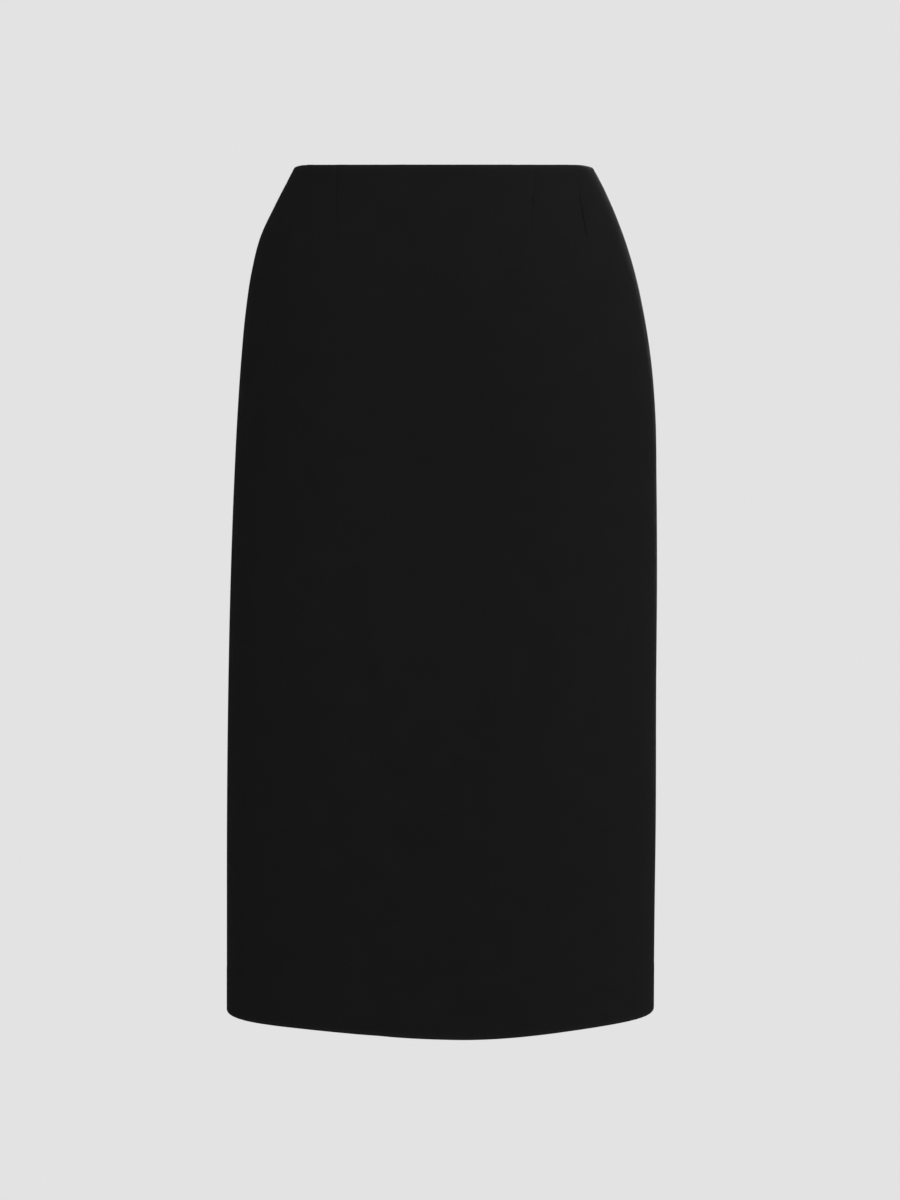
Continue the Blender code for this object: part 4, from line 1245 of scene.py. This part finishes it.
def add_stop(colours):
    """The bottom stop: a small crimped clamp over the end of the teeth."""
    level = ZIP_END + STOP_GAP + STOP_SIZE[2] / 2
    place, lean = back_frame(hung_drop(math.pi, level), ZIP_DEPTH + STOP_SIZE[1] / 2)
    shape = rounded_block(STOP_SIZE, STOP_SQUARENESS)
    thinner, width = STOP_PINCH
    shape[0][:, 1] *= 1 - thinner * bell(shape[0][:, 2], width)
    new_piece("bottom_stop", leaned(shape, place, lean), enamelled_metal(colours),
              node="zip_stop")


def pull_blade(shoulder):
    """The pull's blade, and how worn its points are: rounded sections down a drop outline, which widens
    evenly from the neck to a round foot, and thinner inside the rim."""
    foot, neck = PULL_WIDTH / 2, CHEEK_WIDTH / 2
    straight_points, foot_points, round_points = PULL_POINTS
    straight = np.linspace(shoulder, PULL_LENGTH - foot, straight_points)
    widening = neck + (foot - neck) * (straight - neck) / (PULL_LENGTH - foot - neck)
    turn = np.linspace(0, math.pi / 2, foot_points + 2)[1:-1]
    down = np.concatenate([straight, PULL_LENGTH - foot + foot * np.sin(turn)])[::-1, None]
    wide = np.concatenate([widening, foot * np.cos(turn)])[::-1, None]
    section = circle(round_points)
    across = signed_power(np.cos(section), PULL_SQUARENESS) * wide
    from_ends = np.minimum(PULL_LENGTH - down, down - shoulder)
    rim = np.minimum(wide - np.abs(across), from_ends)
    thick = signed_power(np.sin(section), PULL_SQUARENESS) * PULL_THICKNESS / 2
    thick = thick * (1 - RIM_HEIGHT * smooth_step((rim - RIM_WIDTH) / RIM_STEP))
    return loft(points_of(across, thick, -down)), bell(rim, RIM_WEAR).ravel()


def add_pull(colours):
    """The pull tab: its blade, a cheek with a round boss each side of the lug, and a pin through them."""
    shoulder = LUG_RADIUS + CHEEK_GAP
    blade, wear = pull_blade(shoulder)
    slot = POST[0] + 2 * CHEEK_GAP
    cheek = (CHEEK_WIDTH - slot) / 2
    height = shoulder + LUG_RADIUS + CHEEK_ROOT
    arm = rounded_block((cheek, PULL_THICKNESS, height), CHEEK_SQUARENESS)
    arm_height = height / 2 - shoulder - CHEEK_ROOT - CHEEK_DROP
    boss = ring_about_x(LUG_RADIUS / 2, LUG_RADIUS / 2 - BOSS_CORE, cheek, BOSS_SQUARENESS)
    shapes = [blade]
    for side in (-1, 1):
        across = side * (slot + cheek) / 2
        shapes += [moved(arm, (across, 0, arm_height)), moved(boss, (across, 0, 0))]
    rings, sides = PIN_POINTS
    across = np.linspace(-1, 1, rings)[:, None] * (CHEEK_WIDTH + slot) / 4
    turn = circle(sides)
    shapes.append(loft(points_of(across, PIN_RADIUS * np.cos(turn), PIN_RADIUS * np.sin(turn))))
    pivot = np.array(frame["joints"][0]["pos_m"])
    shape = leaned(joined(shapes), pivot, back_frame(SLIDER_DROP)[1])
    piece = new_piece("pull_tab", shape, enamelled_metal(colours), PULL_BODY, "zip_pull")
    add_wear(piece, np.pad(wear, (0, len(shape[0]) - len(wear))))


def add_cove(colours):
    """Floor and backdrop: a flat disc that curves up by a quarter circle into a round wall, seen from
    inside, in one even pale tone that lights nothing."""
    up, sides = COVE_POINTS
    turn = np.linspace(0, math.pi / 2, up)
    radius = np.concatenate([COVE_FLAT, COVE_START + COVE_CURVE * np.sin(turn), [COVE_START + COVE_CURVE]])
    height = np.concatenate([[0, 0], COVE_CURVE * (1 - np.cos(turn)), [COVE_HEIGHT]])
    radius, angle = radius[:, None], circle(sides)
    points, (quads, caps) = loft(points_of(radius * np.cos(angle), radius * np.sin(angle),
                                           FLOOR_HEIGHT + height[:, None]))
    finish = Finish("pale_backdrop", colours.backdrop)
    material = finish.surfaced(finish.add("Emission", {"Color": (*colours.backdrop, 1.0), "Strength": 1.0}))
    cove = new_object("cove", (points, [quads[:, ::-1], caps[:1, ::-1]]), material)
    cove.visible_diffuse = cove.visible_glossy = cove.visible_transmission = cove.visible_shadow = False


def add_lights():
    """Four softboxes, each turned to face its target, and an even ambient light."""
    for box in SOFTBOXES:
        lamp = bpy.data.lights.new(box.name, "AREA")
        lamp.shape = "RECTANGLE"
        lamp.size, lamp.size_y = box.size
        lamp.energy = box.power
        lit = bpy.data.objects.new(box.name, lamp)
        bpy.context.scene.collection.objects.link(lit)
        lit.location = box.place
        lit.rotation_euler = (Vector(box.target) - Vector(box.place)).to_track_quat("-Z", "Y").to_euler()
    world = bpy.data.worlds.new("studio")
    world.use_nodes = True
    background = world.node_tree.nodes["Background"]
    background.inputs["Color"].default_value = (1.0, 1.0, 1.0, 1.0)
    background.inputs["Strength"].default_value = AMBIENT
    bpy.context.scene.world = world


def add_camera():
    """The camera, level with the waist and a little to the wearer's left, looking slightly down."""
    camera = bpy.data.cameras.new("camera")
    camera.lens = CAMERA_LENS
    camera.sensor_width = SENSOR_WIDTH
    camera.clip_start, camera.clip_end = CLIP_RANGE
    stand = bpy.data.objects.new("camera", camera)
    bpy.context.scene.collection.objects.link(stand)
    turn = math.radians(CAMERA_TURN)
    stand.location = (CAMERA_DISTANCE * math.sin(turn), -CAMERA_DISTANCE * math.cos(turn), 0.0)
    stand.rotation_euler = (math.radians(90 - CAMERA_TILT), 0.0, math.radians(CAMERA_TURN + CAMERA_YAW))
    bpy.context.scene.camera = stand
    bpy.context.scene.view_settings.view_transform = "Standard"


def length_property(name, description, default, low, high):
    """A size in metres that a user may change."""
    return bpy.props.FloatProperty(name=name, description=description, default=default, min=low, max=high,
                                   precision=5, subtype="DISTANCE", unit="LENGTH")


def colour_property(name, description, default):
    """A colour that a user may change."""
    return bpy.props.FloatVectorProperty(name=name, description=description, default=default, size=3,
                                         min=0.0, max=1.0, subtype="COLOR")


class SkirtSizes(bpy.types.PropertyGroup):
    """Sizes of the cloth and its stitching."""
    cloth: length_property("Cloth", "Thickness of the crepe", 0.7 * MM, 0.3 * MM, 1.0 * MM)
    allowance: length_property("Allowance", "Width of the seam allowances", 15 * MM, 8 * MM, 20 * MM)
    thread: length_property("Thread", "Thickness of the sewing thread", 0.26 * MM, 0.1 * MM, 0.4 * MM)
    overlock_pitch: length_property("Overlock pitch", "Length of an overlock stitch",
                                    3 * MM, 1.5 * MM, 6 * MM)
    overlock_width: length_property("Overlock width", "Width of the overlock", 4 * MM, 2 * MM, 7 * MM)
    hand_pitch: length_property("Hand stitch pitch", "From one hand stitch to the next",
                                7 * MM, 3 * MM, 15 * MM)


class SkirtColours(bpy.types.PropertyGroup):
    """Colours of the skirt and the backdrop."""
    cloth: colour_property("Cloth", "Black wool crepe", (0.01135, 0.01135, 0.01135))
    thread: colour_property("Thread", "Sewing thread", (0.012, 0.012, 0.013))
    tape: colour_property("Zip tape", "Woven tape of the zip", (0.010, 0.010, 0.011))
    nylon: colour_property("Zip teeth", "Nylon coil of the zip", (0.012, 0.012, 0.013))
    metal: colour_property("Zip metal", "Enamelled metal of the slider, pull and stop", (0.020, 0.020, 0.022))
    backdrop: colour_property("Backdrop", "Floor and backdrop", (0.768, 0.768, 0.768))


def settings(context):
    """The sizes and colours that are set in the scene."""
    return context.scene.skirt_sizes, context.scene.skirt_colours


class SKIRT_OT_front(bpy.types.Operator):
    """The front, cut in one piece with four waist darts"""
    bl_idname = "skirt.front"
    bl_label = "Front"
    bl_options = {"REGISTER", "UNDO"}

    def execute(self, context):
        cloth = add_panel(FRONT, "front_cloth", "front_panel", *settings(context))
        return {"FINISHED"}


class SKIRT_OT_left_back(bpy.types.Operator):
    """The wearer's left back, with two darts and the vent's facing"""
    bl_idname = "skirt.left_back"
    bl_label = "Left back"
    bl_options = {"REGISTER", "UNDO"}

    def execute(self, context):
        cloth = add_panel(LEFT, "left_back_cloth", "back_left_panel", *settings(context))
        return {"FINISHED"}


class SKIRT_OT_right_back(bpy.types.Operator):
    """The wearer's right back, with two darts and the vent's underlap"""
    bl_idname = "skirt.right_back"
    bl_label = "Right back"
    bl_options = {"REGISTER", "UNDO"}

    def execute(self, context):
        cloth = add_panel(RIGHT, "right_back_cloth", "back_right_panel", *settings(context))
        return {"FINISHED"}


class SKIRT_OT_dart_folds(bpy.types.Operator):
    """The cloth taken in by the darts, inside"""
    bl_idname = "skirt.dart_folds"
    bl_label = "Dart folds"
    bl_options = {"REGISTER", "UNDO"}

    def execute(self, context):
        for panel in (FRONT, LEFT, RIGHT):
            add_dart_folds(panel, panel + "_dart_folds", *settings(context))
        return {"FINISHED"}


class SKIRT_OT_overlock(bpy.types.Operator):
    """Overlock stitches round the raw edges"""
    bl_idname = "skirt.overlock"
    bl_label = "Overlock"
    bl_options = {"REGISTER", "UNDO"}

    def execute(self, context):
        for panel in (FRONT, LEFT, RIGHT):
            add_overlock(panel, panel + "_overlock", *settings(context))
        return {"FINISHED"}


class SKIRT_OT_hand_stitches(bpy.types.Operator):
    """Hand stitches at the waist, the hem and the top of the vent"""
    bl_idname = "skirt.hand_stitches"
    bl_label = "Hand stitches"
    bl_options = {"REGISTER", "UNDO"}

    def execute(self, context):
        add_hand_stitches(*settings(context))
        return {"FINISHED"}


class SKIRT_OT_zip_tapes(bpy.types.Operator):
    """Both tapes of the zip and their stitching"""
    bl_idname = "skirt.zip_tapes"
    bl_label = "Zip tapes"
    bl_options = {"REGISTER", "UNDO"}

    def execute(self, context):
        for panel in (LEFT, RIGHT):
            add_zip_tape(panel, panel + "_tape", "zip_tape_" + panel, *settings(context))
        return {"FINISHED"}


class SKIRT_OT_zip_coil(bpy.types.Operator):
    """The closed teeth of the zip and their bottom stop"""
    bl_idname = "skirt.zip_coil"
    bl_label = "Zip teeth"
    bl_options = {"REGISTER", "UNDO"}

    def execute(self, context):
        colours = settings(context)[1]
        add_coil(colours)
        add_stop(colours)
        return {"FINISHED"}


class SKIRT_OT_slider(bpy.types.Operator):
    """The zip's slider"""
    bl_idname = "skirt.slider"
    bl_label = "Slider"
    bl_options = {"REGISTER", "UNDO"}

    def execute(self, context):
        add_slider(settings(context)[1])
        return {"FINISHED"}


class SKIRT_OT_pull(bpy.types.Operator):
    """The pull tab, which swings on the slider's lug"""
    bl_idname = "skirt.pull"
    bl_label = "Pull tab"
    bl_options = {"REGISTER", "UNDO"}

    def execute(self, context):
        add_pull(settings(context)[1])
        return {"FINISHED"}


class SKIRT_OT_studio(bpy.types.Operator):
    """Floor, backdrop, lights and camera"""
    bl_idname = "skirt.studio"
    bl_label = "Studio"
    bl_options = {"REGISTER", "UNDO"}

    def execute(self, context):
        add_cove(settings(context)[1])
        add_lights()
        add_camera()
        return {"FINISHED"}


OPERATORS = (
    SKIRT_OT_front, SKIRT_OT_left_back, SKIRT_OT_right_back, SKIRT_OT_dart_folds, SKIRT_OT_overlock,
    SKIRT_OT_hand_stitches, SKIRT_OT_zip_tapes, SKIRT_OT_zip_coil, SKIRT_OT_slider, SKIRT_OT_pull,
    SKIRT_OT_studio,
)


class SKIRT_PT_panel(bpy.types.Panel):
    """Sizes, colours and pieces of the skirt"""
    bl_label = "Pencil skirt"
    bl_space_type = "VIEW_3D"
    bl_region_type = "UI"
    bl_category = "Skirt"

    def draw(self, context):
        for group in settings(context):
            for name in group.__annotations__:
                self.layout.prop(group, name)
        for operator in OPERATORS:
            self.layout.operator(operator.bl_idname)


CLASSES = (SkirtSizes, SkirtColours, *OPERATORS, SKIRT_PT_panel)


def register():
    """Make the classes and the scene's sizes and colours known to Blender."""
    for cls in CLASSES:
        bpy.utils.register_class(cls)
    bpy.types.Scene.skirt_sizes = bpy.props.PointerProperty(type=SkirtSizes)
    bpy.types.Scene.skirt_colours = bpy.props.PointerProperty(type=SkirtColours)


def unregister():
    """Undo register, in the opposite order."""
    del bpy.types.Scene.skirt_colours
    del bpy.types.Scene.skirt_sizes
    for cls in reversed(CLASSES):
        bpy.utils.unregister_class(cls)


def main():
    """Register and build every piece in order."""
    register()
    bpy.ops.skirt.front()
    bpy.ops.skirt.left_back()
    bpy.ops.skirt.right_back()
    bpy.ops.skirt.dart_folds()
    bpy.ops.skirt.overlock()
    bpy.ops.skirt.hand_stitches()
    bpy.ops.skirt.zip_tapes()
    bpy.ops.skirt.zip_coil()
    bpy.ops.skirt.slider()
    bpy.ops.skirt.pull()
    bpy.ops.skirt.studio()


if __name__ == "__main__":
    main()
